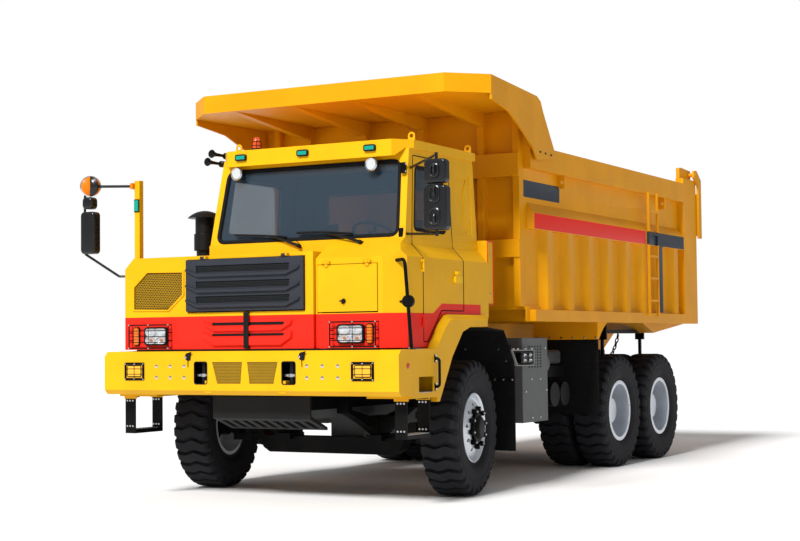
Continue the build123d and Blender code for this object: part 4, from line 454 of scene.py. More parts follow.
class Shader:
    """A material's node tree, built from expressions."""

    def __init__(self, name: str) -> None:
        self.material = bpy.data.materials.new(name)
        self.material.use_nodes = True
        self.tree = self.material.node_tree
        self.surface = self.tree.nodes["Principled BSDF"]
        coords = self.node("ShaderNodeTexCoord")
        self.place = Value(self, coords.outputs["Object"])
        split = self.node("ShaderNodeSeparateXYZ", {}, {0: self.place})
        self.x, self.y, self.z = (Value(self, s) for s in split.outputs)

    def node(self, kind: str, settings: dict | None = None, inputs: dict | None = None) -> bpy.types.Node:
        """One node.

        Args:
            kind: The node's type name.
            settings: Its own properties, set first.
            inputs: Socket name or number to a number, colour or Value.

        Returns:
            The node.
        """
        made = self.tree.nodes.new(kind)
        for key, value in (settings or {}).items():
            setattr(made, key, value)
        for key, value in (inputs or {}).items():
            if isinstance(value, Value):
                self.tree.links.new(value.socket, made.inputs[key])
            else:
                made.inputs[key].default_value = value
        return made

    def math(self, operation: str, a: Number, b: Number = 0.0) -> Value:
        """A Math node."""
        made = self.node("ShaderNodeMath", {"operation": operation}, {0: a, 1: b})
        return Value(self, made.outputs[0])

    def mix(self, share: Number, first: "Paint", second: "Paint") -> Value:
        """Blend of two colours; share 1 gives the second."""
        made = self.node("ShaderNodeMix", {"data_type": "RGBA"}, {0: share})
        for key, value in ((6, first), (7, second)):
            if isinstance(value, Value):
                self.tree.links.new(value.socket, made.inputs[key])
            else:
                made.inputs[key].default_value = (*value, 1.0)
        return Value(self, made.outputs[2])

    def noise(self, scale: float, detail: float = 4.0, rough: float = 0.55) -> Value:
        """Cloudy values about one half."""
        made = self.node(
            "ShaderNodeTexNoise", {},
            {"Vector": self.place, "Scale": scale, "Detail": detail, "Roughness": rough})
        return Value(self, made.outputs["Fac"])

    def stretched_noise(self, scale: Sequence[float], detail: float = 3.0) -> Value:
        """Noise stretched by a scale for each axis."""
        mapping = self.node("ShaderNodeMapping", {}, {"Vector": self.place, "Scale": tuple(scale)})
        made = self.node(
            "ShaderNodeTexNoise", {},
            {"Vector": Value(self, mapping.outputs[0]), "Scale": 1.0, "Detail": detail})
        return Value(self, made.outputs["Fac"])

    def bump(self, height: Value, strength: float, distance: float) -> None:
        """Relief on the surface from a height."""
        made = self.node("ShaderNodeBump", {}, {"Height": height, "Strength": strength, "Distance": distance})
        self.tree.links.new(made.outputs[0], self.surface.inputs["Normal"])

    def feed(self, **sockets: "Paint | Number") -> bpy.types.Material:
        """Sets the surface's sockets.

        Args:
            sockets: Socket name with _ for a blank, to a number, colour or Value.

        Returns:
            The finished material.
        """
        for key, value in sockets.items():
            socket = self.surface.inputs[key.replace("_", " ")]
            if isinstance(value, Value):
                self.tree.links.new(value.socket, socket)
            elif isinstance(value, tuple) and len(value) == 3:
                socket.default_value = (*value, 1.0)
            else:
                socket.default_value = value
        return self.material


Paint = Union[Colour, Value]


class Tone(Enum):
    """The truck's colours."""

    YELLOW = (0.80, 0.415, 0.004)
    BED_YELLOW = (0.78, 0.330, 0.002)
    RED = (0.74, 0.020, 0.009)
    SLATE = srgb(52, 60, 70)
    BLACK = srgb(10, 11, 12)
    RUBBER = srgb(15, 16, 17)
    LINING_AND_SHADE = srgb(58, 70, 84)
    GREY = srgb(98, 101, 102)
    SILVER = srgb(205, 208, 212)


@dataclass(frozen=True)
class Gloss:
    """Sprayed paint with a faint orange-peel and a little dust low down."""

    name: str
    colour: Colour
    roughness: float = 0.42
    coat: float = 0.06
    metallic: float = 0.0
    dust: float = 0.06
    specular: float = 0.12

    def shader(self) -> tuple[Shader, Value]:
        """The shader and its varied base colour."""
        shader = Shader(self.name)
        cloud = shader.noise(1.7, 5.0)
        darker = tuple(c * 0.90 for c in self.colour)
        base = shader.mix(cloud.ramp(0.35, 0.7), darker, self.colour)
        return shader, base

    def finish(self, shader: Shader, base: Value) -> bpy.types.Material:
        """Sets the surface from a colour."""
        low = shader.z.ramp(1.6, 0.1) * shader.noise(6.0).ramp(0.42, 0.7)
        dusty = shader.mix(low * self.dust, base, srgb(120, 108, 92))
        speck = shader.noise(260.0, 2.0)
        shader.bump(speck, 0.05, 0.0006)
        rough = shader.noise(9.0, 3.0) * 0.12 + (self.roughness - 0.06)
        return shader.feed(
            Base_Color=dusty, Roughness=rough, Metallic=self.metallic, Coat_Weight=self.coat,
            Coat_Roughness=0.15, Specular_IOR_Level=self.specular)

    def material(self) -> bpy.types.Material:
        """The finished material."""
        shader, base = self.shader()
        return self.finish(shader, base)


@dataclass(frozen=True)
class CabPaint(Gloss):
    """Yellow cab with the red band that runs round the nose and up the side, and its dark lining, darkened
    partly as painted shade inside the cab.
    """

    band_z: tuple[float, float] = (1.835, 1.932)
    band_rise: float = 0.52
    band_y: tuple[float, float] = (FRONT_AXLE_Y - 0.82, FRONT_AXLE_Y + 0.24)
    depth: float = 0.02
    left_wall: tuple[float, float] = (-0.0532, 1.633)
    right_wall: tuple[float, float] = (0.0596, 0.925)
    screen: tuple[float, float] = (0.2021, FRONT_AXLE_Y - 1.155)
    sill_z: float = 2.5
    low_door: tuple[float, float] = (2.37, 0.095)
    lined_z: tuple[float, float] = (2.09, 3.53)
    rear_y: float = FRONT_AXLE_Y + 0.41

    def inside(self, shader: Shader) -> Value:
        """One on the cab's inner faces, which lie deeper than the outer walls by depth or more.

        A wall is a slope by height and its place at height zero; the screen leans above the
        sill only, and the door stands further out below its step.
        """
        (left_lean, left_x), (right_lean,
                              right_x), (lean, front_y) = self.left_wall, self.right_wall, self.screen
        step_z, step_out = self.low_door
        bulge = (shader.z < step_z) * step_out
        left = shader.x < shader.z * left_lean + bulge + (left_x - self.depth)
        right = shader.x > shader.z * right_lean - (right_x - self.depth)
        slant = shader.math("MAXIMUM", (shader.z - self.sill_z) * lean, 0.0)
        front = shader.y > slant + (front_y + self.depth)
        return left * right * front * (shader.y < self.rear_y) * shader.z.between(*self.lined_z)

    def material(self) -> bpy.types.Material:
        """The finished material."""
        shader, base = self.shader()
        low, high = self.band_z
        climb = (shader.y - self.band_y[0]) * self.band_rise + low
        limit = shader.math("MINIMUM", shader.math("MAXIMUM", climb, low), high)
        red = (shader.z < limit) * (shader.y < self.band_y[1])
        painted = shader.mix(red, base, Tone.RED.value)
        # The inner faces take the lining colour, which is partly trim colour and partly painted shade inside
        # the cab.
        return self.finish(shader, shader.mix(self.inside(shader), painted, Tone.LINING_AND_SHADE.value))


@dataclass(frozen=True)
class BoxPaint(Gloss):
    """Grey side box, black on its front face."""

    black_until_y: float = FRONT_AXLE_Y + 1.409

    def material(self) -> bpy.types.Material:
        """The finished material."""
        shader, base = self.shader()
        return self.finish(shader, shader.mix(shader.y < self.black_until_y, base, Tone.BLACK.value))


@dataclass(frozen=True)
class BedPaint(Gloss):
    """Yellow bed with a red stripe, a slate tail stripe, one slate rib and a slate panel.

    Each field has its limits out from the middle, its z limits, and its y limits from the front axle.
    """

    band_out: float = 1.5905
    band_z: tuple[float, float] = (2.790, 2.962)
    red_y: tuple[float, float] = (1.50, 5.07)
    tail_y: tuple[float, float] = (5.11, 6.60)
    rib_out: float = 1.664
    rib_z: tuple[float, float] = (1.91, 2.79)
    rib_y: tuple[float, float] = (5.598, 5.742)
    panel_out: tuple[float, float] = (1.585, 1.60)
    panel_z: tuple[float, float] = (3.138, 3.326)
    panel_y: tuple[float, float] = (1.42, 2.43)

    def material(self) -> bpy.types.Material:
        """The finished material."""
        shader, base = self.shader()
        out, along = shader.x.absolute(), shader.y - FRONT_AXLE_Y
        band = shader.z.between(*self.band_z) * (out > self.band_out)
        red, tail = band * along.between(*self.red_y), band * along.between(*self.tail_y)
        rib = shader.z.between(*self.rib_z) * along.between(*self.rib_y) * (out > self.rib_out)
        panel = shader.z.between(*self.panel_z) * along.between(*self.panel_y) * out.between(*self.panel_out)
        slate = shader.math("MAXIMUM", shader.math("MAXIMUM", tail, rib), panel)
        painted = shader.mix(red, base, Tone.RED.value)
        return self.finish(shader, shader.mix(slate, painted, Tone.SLATE.value))


@dataclass(frozen=True)
class Rubber:
    """Matt moulded rubber, dusty in its hollows."""

    name: str
    colour: Colour = Tone.RUBBER.value
    grain: float = 90.0
    dust: float = 0.08

    def material(self) -> bpy.types.Material:
        """The finished material."""
        shader = Shader(self.name)
        cloud = shader.noise(5.0, 6.0)
        base = shader.mix(cloud.ramp(0.35, 0.75), tuple(c * 0.75 for c in self.colour), self.colour)
        dusty = shader.mix(shader.noise(14.0, 5.0).ramp(0.5, 0.85) * self.dust, base, srgb(84, 82, 78))
        shader.bump(shader.noise(self.grain, 4.0), 0.35, 0.002)
        rough = shader.noise(20.0) * 0.2 + 0.62
        return shader.feed(Base_Color=self.coloured(shader, dusty), Roughness=rough, Specular_IOR_Level=0.15)

    def coloured(self, shader: Shader, base: Value) -> Value:
        """The colour as it is; a finish with a painted part changes it."""
        return base


@dataclass(frozen=True)
class Flap(Rubber):
    """Rubber flap hung from a yellow plate."""

    plate_z: float = 1.566

    def coloured(self, shader: Shader, base: Value) -> Value:
        """The rubber below the plate's edge, yellow paint above it."""
        return shader.mix(shader.z > self.plate_z, base, Tone.BED_YELLOW.value)


@dataclass(frozen=True)
class Plastic:
    """Grained black plastic."""

    name: str
    colour: Colour = Tone.BLACK.value
    roughness: float = 0.42
    specular: float = 0.2

    def material(self) -> bpy.types.Material:
        """The finished material."""
        shader = Shader(self.name)
        base = shader.mix(shader.noise(3.0), self.colour, tuple(c * 1.25 + 0.002 for c in self.colour))
        shader.bump(shader.noise(420.0, 2.0), 0.18, 0.0006)
        return shader.feed(
            Base_Color=base, Roughness=shader.noise(30.0) * 0.1 + self.roughness - 0.05,
            Specular_IOR_Level=self.specular)


@dataclass(frozen=True)
class Metal:
    """Bare or plated metal with faint brushing."""

    name: str
    colour: Colour = Tone.SILVER.value
    roughness: float = 0.28

    def material(self) -> bpy.types.Material:
        """The finished material."""
        shader = Shader(self.name)
        base = shader.mix(shader.noise(8.0), tuple(c * 0.85 for c in self.colour), self.colour)
        rough = shader.stretched_noise((40.0, 600.0, 40.0)) * 0.15 + self.roughness - 0.07
        return shader.feed(Base_Color=base, Roughness=rough, Metallic=1.0)


@dataclass(frozen=True)
class Pane:
    """Thin tinted glass: mostly clear, with a mirror's share at a slant."""

    name: str
    tint: Colour = srgb(110, 140, 165)
    clear: float = 0.58

    def material(self) -> bpy.types.Material:
        """The finished material."""
        shader = Shader(self.name)
        film = shader.noise(2.0, 3.0) * 0.06 + (1.0 - self.clear - 0.03)
        return shader.feed(
            Base_Color=tuple(c * 0.25 for c in self.tint), Roughness=0.03, Alpha=film, IOR=1.5,
            Specular_IOR_Level=0.9)


@dataclass(frozen=True)
class Glow:
    """Coloured lamp plastic that lights up a little in daylight."""

    name: str
    colour: Colour
    strength: float = 0.25

    def material(self) -> bpy.types.Material:
        """The finished material."""
        shader = Shader(self.name)
        ribs = shader.stretched_noise((160.0, 4.0, 4.0))
        base = shader.mix(ribs, tuple(c * 0.7 for c in self.colour), self.colour)
        return shader.feed(
            Base_Color=base, Roughness=0.12, Coat_Weight=0.5, Emission_Color=base,
            Emission_Strength=self.strength)


@dataclass(frozen=True)
class Weave:
    """Woven seat cloth."""

    name: str
    colour: Colour = srgb(52, 54, 58)
    pitch: float = 700.0

    def material(self) -> bpy.types.Material:
        """The finished material."""
        shader = Shader(self.name)
        warp = shader.math("SINE", (shader.x + shader.z) * self.pitch * 2.0)
        weft = shader.math("SINE", (shader.y - shader.z) * self.pitch * 2.0)
        cloth = warp * weft * 0.5 + 0.5
        base = shader.mix(cloth, tuple(c * 0.6 for c in self.colour), self.colour)
        shader.bump(cloth, 0.3, 0.0008)
        return shader.feed(Base_Color=base, Roughness=0.85)


SLOTS = {
    "black_paint": ("frame_black",),
    "black_plastic": ("black_plastic", "painted_shade_black", "grille_mesh", "mirror_black"),
    "grey_paint": ("bracket_grey", "filter_grey"),
    "silver_paint": ("chrome", "rim_silver", "steel"),
    "yellow_paint": ("bed_yellow", "handle_yellow", "mesh_yellow", "orange", "red", "yellow"),
    "flap_rubber": ("flap_rubber",), "tyre_rubber": ("tyre_rubber",), "seat_cloth": ("seat_cloth",),
}
SLOT_OF = {finish: slot for slot, finishes in SLOTS.items() for finish in finishes}


class Palette:
    """Every finish, made once."""

    def __init__(self) -> None:
        yellow = Tone.YELLOW.value
        self.yellow = Gloss("yellow", yellow).material()
        self.cab = CabPaint("cab_yellow", yellow).material()
        self.bed = BedPaint("bed_yellow", Tone.BED_YELLOW.value).material()
        self.red = Gloss("red", Tone.RED.value).material()
        self.black = Gloss("frame_black", Tone.BLACK.value, roughness=0.42, coat=0.0, dust=0.03,
                           specular=0.08).material()
        self.grey = Gloss("box_grey", Tone.GREY.value, roughness=0.45, coat=0.0, dust=0.1).material()
        self.guard = Gloss("guard_grey", srgb(30, 31, 32), roughness=0.5, coat=0.0, dust=0.03).material()
        self.rim = Gloss("rim_silver", srgb(214, 220, 228), 0.30, 0.1, 0.55, 0.03, 0.5).material()
        self.steel = Metal("steel").material()
        self.chrome = Metal("chrome", srgb(225, 228, 232), 0.12).material()
        self.plastic = Plastic("black_plastic").material()
        self.rubber = Rubber("flap_rubber").material()
        self.flap = Flap("flap_and_plate").material()
        self.box = BoxPaint("side_box", Tone.GREY.value, roughness=0.45, coat=0.0, dust=0.1).material()
        self.fog = Glow("fog_yellow", srgb(250, 178, 18), 0.25).material()
        self.bulb = Glow("bulb_orange", srgb(235, 130, 40), 0.1).material()
        self.tyre = Rubber("tyre_rubber", srgb(34, 35, 39), dust=0.12).material()
        self.pane = Pane("cab_glass").material()
        self.cloth = Weave("seat_cloth").material()
        self.bright = Gloss("handle_yellow", (0.90, 0.52, 0.004), 0.35).material()
        self.orange = Gloss("orange", (0.80, 0.20, 0.004)).material()
        self.mesh = Gloss("mesh_yellow", (0.42, 0.235, 0.010), 0.5, 0.0).material()
        self.grille = Plastic("grille_grey", srgb(37, 40, 47), 0.45, 0.3).material()
        self.grille_mesh = Plastic("grille_mesh", srgb(26, 28, 31), 0.6).material()
        # The headlamp bowls glow near-white: a painted reflection of their chrome.
        self.painted_reflection = Glow("painted_reflection", srgb(232, 236, 240), 0.18).material()
        # Near-black finish for sheets and pads that stand for the shade in holes, slots and behind meshes:
        # painted shade.
        self.void = Plastic("painted_shade_black", srgb(8, 8, 9), 0.7).material()
        self.cover = Pane("lamp_cover", srgb(235, 238, 240), 0.86).material()
        self.cover_white = Glow("clear_lens", srgb(225, 226, 224), 0.05).material()
        self.red_lens = Glow("red_lens", srgb(190, 12, 10), 0.1).material()
        self.amber_glow = Glow("beacon_amber", srgb(225, 80, 6), 0.12).material()
        self.amber = Glow("amber", srgb(236, 118, 10), 0.08).material()
        self.marker = Glow("marker_amber", srgb(190, 70, 14), 0.0).material()
        self.bracket = Gloss("bracket_grey", srgb(150, 152, 150), 0.5, 0.0).material()
        self.mirror = Plastic("mirror_black", srgb(14, 15, 17), 0.26, 0.45).material()
        self.filter = Gloss("filter_grey", srgb(66, 68, 71), 0.45, 0.0).material()
        self.teal = Glow("teal_lamp", srgb(0, 150, 130)).material()
        self.lamp = Glow("lamp_lens", srgb(206, 210, 210), 0.03).material()


# Placing pieces


@dataclass
class Workshop:
    """Turns shapes into Blender objects that ride on the frame."""

    palette: Palette
    count: int = 0
    crease: float = 28.0

    def piece(
        self, name: str, shape: Shape | list[Shape], finish: bpy.types.Material, body: str = "chassis",
        slot: str = "", replaces: Sequence[str] = (), smooth: float = 35.0, thick: float = 0.0,
        cutter: Shape | None = None) -> bpy.types.Object:
        """One finished object.

        Args:
            name: The piece's name.
            shape: Its points and faces, or several such shapes, in the frame's metres.
            finish: Its material.
            body: The CAD body that it rides on.
            slot: The record's material slot, or nothing for the finish's own, a lamp's unless
                SLOTS says otherwise.
            replaces: CAD nodes that it stands for.
            smooth: Edges flatter than this many degrees are shaded smooth.
            thick: Thickness given to an open sheet, in metres.
            cutter: Closed shape taken out of the piece.

        Returns:
            The object.
        """
        whole = shape if isinstance(shape, Shape) else Shape.joined(shape)
        mesh = self.meshed(name, whole, smooth)
        if cutter is not None:
            mesh = self.combined([mesh, self.meshed(f"{name}_cutter", cutter, smooth)], "DIFFERENCE")
            mesh.name = name
            self.shaded(mesh, smooth)
        mesh.materials.append(finish)
        made = bpy.data.objects.new(name, mesh)
        if thick:
            sheet = made.modifiers.new("thickness", "SOLIDIFY")
            sheet.thickness, sheet.offset = thick, 0.0
        own = SLOT_OF.get(finish.name.partition(".")[0], "lamp_lens")  # a name in use has a number after it
        return self.placed(made, body, slot or own, replaces)

    def meshed(self, name: str, shape: Shape, smooth: float) -> bpy.types.Mesh:
        """A clean mesh of a shape."""
        mesh = bpy.data.meshes.new(name)
        mesh.from_pydata(shape.points.tolist(), [], shape.faces)
        self.closed_up(mesh, 1e-5)
        self.shaded(mesh, smooth)
        return mesh

    @staticmethod
    def combined(meshes: Sequence[bpy.types.Mesh], operation: str) -> bpy.types.Mesh:
        """The first closed mesh joined with the others, or less them."""
        made = [bpy.data.objects.new("solid", mesh) for mesh in meshes]
        for item in made:
            bpy.context.scene.collection.objects.link(item)
        for other in made[1:]:
            step = made[0].modifiers.new("step", "BOOLEAN")
            step.operation, step.solver, step.object = operation, "EXACT", other
        graph = bpy.context.evaluated_depsgraph_get()
        result = bpy.data.meshes.new_from_object(made[0].evaluated_get(graph))
        for item in made:
            bpy.data.objects.remove(item)
        return result

    def placed(
        self, made: bpy.types.Object, body: str, slot: str, replaces: Sequence[str]) -> bpy.types.Object:
        """Links an object, rides it on its body and reports it."""
        bpy.context.scene.collection.objects.link(made)
        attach(made, body)
        if replaces:
            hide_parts(*replaces)
        self.count += 1
        LOG.info("%s on %s: %d faces", made.name, body, len(made.data.polygons))
        return made

    @staticmethod
    def closed_up(mesh: bpy.types.Mesh, distance: float) -> None:
        """Merges points nearer than distance and turns the faces outwards."""
        work = bmesh.new()
        work.from_mesh(mesh)
        bmesh.ops.remove_doubles(work, verts=work.verts, dist=distance)
        bmesh.ops.recalc_face_normals(work, faces=work.faces)
        work.to_mesh(mesh)
        work.free()

    @staticmethod
    def shaded(mesh: bpy.types.Mesh, smooth: float) -> None:
        """Shades a mesh smooth but for edges sharper than so many degrees."""
        mesh.shade_smooth()
        mesh.set_sharp_from_angle(angle=math.radians(smooth))

    def solid_copy(self, node: str) -> bpy.types.Mesh:
        """A CAD node's mesh with its triangles joined up."""
        mesh = frame["nodes"][node].data.copy()
        self.closed_up(mesh, 2e-5)
        return mesh

    def softened(
        self, nodes: str | Sequence[str], finish: bpy.types.Material, width: float,
        name: str = "") -> bpy.types.Object:
        """A copy of CAD nodes with their sharp edges rounded, in place of them.

        Args:
            nodes: The node, or several that are welded into one skin.
            finish: Its material.
            width: Width of the rounding, in metres.
            name: The piece's name, or nothing for the node's own.

        Returns:
            The object.
        """
        nodes = (nodes,) if isinstance(nodes, str) else tuple(nodes)
        solids = [self.solid_copy(node) for node in nodes]
        mesh = solids[0] if len(solids) == 1 else self.combined(solids, "UNION")
        mesh.name = name or f"{nodes[0]}_skin"
        work = bmesh.new()
        work.from_mesh(mesh)
        bmesh.ops.remove_doubles(work, verts=work.verts, dist=2e-5)
        bmesh.ops.dissolve_limit(
            work, angle_limit=math.radians(0.6), verts=work.verts, edges=work.edges, delimit={"NORMAL"})
        work.to_mesh(mesh)
        work.free()
        mesh.materials.clear()
        mesh.materials.append(finish)
        self.shaded(mesh, self.crease)
        made = bpy.data.objects.new(mesh.name, mesh)
        rounding = made.modifiers.new("edges", "BEVEL")
        rounding.width = width
        rounding.segments = 2
        rounding.limit_method = "ANGLE"
        rounding.angle_limit = math.radians(self.crease)
        rounding.harden_normals = True
        slot = next(s["material_slot"] for s in frame["record"]["subparts"] if s["node"] == nodes[0])
        return self.placed(made, frame["nodes"][nodes[0]]["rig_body"], slot, nodes)

    @staticmethod
    def dressed(node: str, finish: bpy.types.Material) -> None:
        """Gives a CAD node that stays its finish."""
        source = frame["nodes"][node]
        source.data.materials.clear()
        source.data.materials.append(finish)


# Camera and light


@dataclass(frozen=True)
class Studio:
    """Camera where the photograph was taken from, pale floor and soft light."""

    place: tuple[float, float, float] = (8.66969, -14.40748 + FRONT_AXLE_Y, 1.5679)
    yaw: float = -28.6066
    pitch: float = 2.5592
    roll: float = -0.5749
    lens: float = 71.140
    sun: float = 4.2
    sun_width: float = 14.0
    sun_from: tuple[float, float, float] = (-0.02, -0.76, 0.65)
    sky: float = 0.36
    floor_shade: float = 0.93
    floor_span: float = 400.0

    def build(self) -> None:
        """Makes the camera, the lights, the world and the floor."""
        self.camera()
        self.lights()
        self.world()
        self.floor()

    def camera(self) -> None:
        """Camera whose axes come from yaw, pitch and roll."""
        yaw, pitch, roll = (math.radians(a) for a in (self.yaw, self.pitch, self.roll))
        ahead = np.array([math.sin(yaw) * math.cos(pitch), math.cos(yaw) * math.cos(pitch), math.sin(pitch)])
        right = np.array([math.cos(yaw), -math.sin(yaw), 0.0])
        up = np.cross(right, ahead)
        turned_right = math.cos(roll) * right + math.sin(roll) * up
        turned_up = -math.sin(roll) * right + math.cos(roll) * up
        data = bpy.data.cameras.new("camera")
        data.lens = self.lens
        data.sensor_width = 36.0
        made = bpy.data.objects.new("camera", data)
        axes = np.stack([turned_right, turned_up, -ahead], axis=1)
        made.matrix_world = Matrix.LocRotScale(Vector(self.place), Matrix(axes.tolist()), None)
        bpy.context.scene.collection.objects.link(made)
        bpy.context.scene.camera = made

    def lights(self) -> None:
        """Soft sun from straight in front, high up."""
        data = bpy.data.lights.new("sun", "SUN")
        data.energy = self.sun
        data.angle = math.radians(self.sun_width)
        made = bpy.data.objects.new("sun", data)
        made.matrix_world = Vector(self.sun_from).to_track_quat("Z", "Y").to_matrix().to_4x4()
        bpy.context.scene.collection.objects.link(made)

    def world(self) -> None:
        """Soft sky that shows white to the camera and through glass."""
        world = bpy.data.worlds.new("world")
        world.use_nodes = True
        tree = world.node_tree
        background = tree.nodes["Background"]
        background.inputs["Color"].default_value = (1.0, 1.0, 1.0, 1.0)
        path = tree.nodes.new("ShaderNodeLightPath")
        seen = tree.nodes.new("ShaderNodeMath")
        seen.operation = "MAXIMUM"
        tree.links.new(path.outputs["Is Camera Ray"], seen.inputs[0])
        tree.links.new(path.outputs["Is Transmission Ray"], seen.inputs[1])
        level = tree.nodes.new("ShaderNodeMapRange")
        level.inputs["To Min"].default_value = self.sky
        level.inputs["To Max"].default_value = 1.0
        tree.links.new(seen.outputs[0], level.inputs["Value"])
        tree.links.new(level.outputs[0], background.inputs["Strength"])
        bpy.context.scene.world = world

    def floor(self) -> None:
        """Pale floor just under the tyres."""
        span = self.floor_span
        corners = [(-span, -span, 0.0), (span, -span, 0.0), (span, span, 0.0), (-span, span, 0.0)]
        mesh = bpy.data.meshes.new("floor")
        mesh.from_pydata(corners, [], [[0, 1, 2, 3]])
        shader = Shader("floor")
        shader.feed(Base_Color=(self.floor_shade,) * 3, Roughness=0.9)
        mesh.materials.append(shader.material)
        made = bpy.data.objects.new("floor", mesh)
        bpy.context.scene.collection.objects.link(made)
        made.location.z = -0.002


# Wheels


@dataclass
class Wheels:
    """Tyres with zigzag cross grooves, and the nuts and hubs of the rims."""

    shop: Workshop
    radius: float = 0.685
    width: float = 0.400
    bead: float = 0.338
    rim_half: float = 0.150
    grooves: int = 30
    groove_width: float = 0.042
    groove_depth: float = 0.040
    groove_flare: float = 0.7
    zig: float = 0.062
    zig_width: float = 0.115
    steer: float = 7.4
    kingpin: float = 1.080
    front_x: float = 1.458
    rear_x: float = 1.481
    spacing: float = 0.470
    rear_ys: tuple[float, float] = (FRONT_AXLE_Y + 4.125, FRONT_AXLE_Y + 5.598)

    def tyre(self) -> Shape:
        """Tyre about the origin, its axle along X.

        The section is a loop of (x, r). A point sits at angle u + zig(x), where zig is a
        triangle wave over the tread, and the radius drops by the groove depth where u lies
        inside a groove and the section point is on the tread. Grooves widen towards the
        shoulders by 1 + flare (x / half)^2.
        """
        half, top = self.width / 2, self.radius
        rim = self.rim_half - 0.0004
        right = [
            (rim, self.bead, 0.0), (rim, 0.376, 0.0), (rim + 0.012, 0.392, 0.0), (half - 0.020, 0.412, 0.0),
            (half - 0.006, 0.450, 0.0), (half - 0.002, 0.500, 0.0), (half - 0.004, 0.545, 0.0),
            (half - 0.001, 0.552, 0.0), (half - 0.004, 0.560, 0.0), (half - 0.006, 0.600, 0.0),
            (half - 0.002, 0.618, 0.35), (half - 0.006, 0.640, 0.8), (half - 0.016, 0.664, 1.0),
            (half - 0.034, top - 0.006, 1.0), (half - 0.065, top - 0.001, 1.0), (0.075, top, 1.0),
            (0.035, top, 1.0), (0.0, top, 1.0),
        ]
        loop = right + [(-x, r, g) for x, r, g in right[-2::-1]]
        x, radius, tread = np.array(loop).T
        pitch = TAU / self.grooves
        cut = self.groove_width / top
        steps = np.array([
            -0.5 * cut, -0.34 * cut, 0.34 * cut, 0.5 * cut, 0.3 * pitch, 0.5 * pitch, 0.7 * pitch])
        floor = np.array([0.0, 1.0, 1.0, 0.0, 0.0, 0.0, 0.0])
        edges = np.abs(steps) <= 0.5 * cut
        flare = 1.0 + self.groove_flare * edges[:, None] * (x[None] / half) ** 2
        u = (np.arange(self.grooves)[:, None, None] * pitch + steps[:, None] * flare).reshape(-1, len(x))
        groove = np.tile(floor, self.grooves)[:, None]
        wave = np.abs((x / self.zig_width + 0.25) % 2.0 - 1.0) - 0.5
        angle = u + self.zig * wave * np.minimum(1.0, tread * 2)
        r = radius - groove * tread * self.groove_depth
        points = np.stack([x + 0 * angle, r * np.cos(angle), r * np.sin(angle)], axis=-1)
        return grid(points, wrap_u=True, wrap_v=True)

    def front_rim(self) -> Shape:
        """Front rim: barrel and outward dish, as a closed loop of (x, r) turned about the axle."""
        back = self.rim_half
        profile = [
            (-back, self.bead), (back, self.bead), (back + 0.002, 0.350), (back + 0.012, 0.352),
            (back + 0.016, 0.344),
            (back + 0.010, 0.330), (back - 0.004, 0.322), (0.124, 0.312), (0.120, 0.304), (0.128, 0.294),
            (0.152, 0.262), (0.166, 0.236), (0.174, 0.214), (0.176, 0.150), (0.160, 0.150), (0.158, 0.206),
            (0.134, 0.256), (0.104, 0.288), (0.080, 0.298), (-back, 0.302),
        ]
        return lathe(profile, 96)

    def front_hub(self) -> Shape:
        """Black front hub: a stepped drum with its cap, on the stub that carries the rim."""
        profile = [
            (-0.120, 0.004), (-0.120, 0.120), (0.092, 0.120), (0.092, 0.268), (0.098, 0.268), (0.100, 0.120),
            (0.150, 0.120), (0.150, 0.160), (0.200, 0.156), (0.208, 0.148),
            (0.212, 0.122), (0.222, 0.114), (0.234, 0.110), (0.242, 0.100), (0.246, 0.080), (0.248, 0.004),
        ]
        return lathe(profile, 48)

    def nuts(self, circle: float, radius: float, x0: float, x1: float, count: int = 10) -> Shape:
        """Ring of wheel nuts, each a bevelled drum."""
        angle = np.linspace(0.0, TAU, count, endpoint=False) + 0.2
        offsets = np.stack([0 * angle, circle * np.cos(angle), circle * np.sin(angle)], axis=1)
        return drum(x0, x1, radius, 12, 0.004).copies(offsets)

    def placed(self, shape: Shape, side: int, x: float, y: float, steered: bool) -> Shape:
        """A wheel shape moved to its axle end, its outer side away from the truck."""
        moved = shape if side > 0 else shape.turned("Z", 180.0)
        if not steered:
            return moved.moved(side * x, y, self.radius)
        moved = moved.moved(side * (x - self.kingpin)).turned("Z", self.steer)
        return moved.moved(side * self.kingpin, y, self.radius)

    def build(self) -> None:
        """Makes all six wheel ends."""
        palette = self.shop.palette
        tyre = self.tyre()
        for word, side in (("left", 1), ("right", -1)):
            body = f"wheel_front_{word}"
            args = (side, self.front_x, FRONT_AXLE_Y, True)
            self.shop.piece(f"front_tyre_{word}", self.placed(tyre, *args), palette.tyre, body,
                            replaces=(f"tyre_front_{word}",), smooth=30.0)
            angle = np.linspace(0.0, TAU, 10, endpoint=False) + 0.2 + TAU / 20
            spots = np.stack([0 * angle, 0.234 * np.cos(angle), 0.234 * np.sin(angle)], axis=1)
            holes = self.placed(drum(0.10, 0.22, 0.0195, 20).copies(spots), *args)
            self.shop.piece(f"front_rim_{word}", self.placed(self.front_rim(), *args), palette.rim, body,
                            replaces=(f"rim_front_{word}",), smooth=40.0, cutter=holes)
            hub = Shape.joined([self.front_hub(), self.nuts(0.190, 0.0265, 0.170, 0.224)])
            self.shop.piece(f"front_hub_{word}", self.placed(hub, *args), palette.black, body)
            studs = self.placed(self.nuts(0.190, 0.0100, 0.220, 0.236), *args)
            self.shop.piece(f"front_studs_{word}", studs, palette.steel, body)
            for number, y in enumerate(self.rear_ys, start=1):
                body = f"wheels_rear_{word}_{number}"
                pair = Shape.joined([
                    self.placed(tyre, side, self.rear_x, y, False),
                    self.placed(tyre, side, self.rear_x - self.spacing, y, False)])
                self.shop.piece(f"rear_tyres_{word}_{number}", pair, palette.tyre, body,
                                replaces=(f"tyres_rear_{word}_{number}",), smooth=30.0)
                self.shop.softened(f"rims_rear_{word}_{number}", palette.rim, 0.003)
                nuts = self.nuts(0.185, 0.022, -0.066, -0.028)
                self.shop.piece(f"rear_nuts_{word}_{number}", self.placed(nuts, side, self.rear_x, y, False),
                                palette.black, body)


# Front, cab and glass


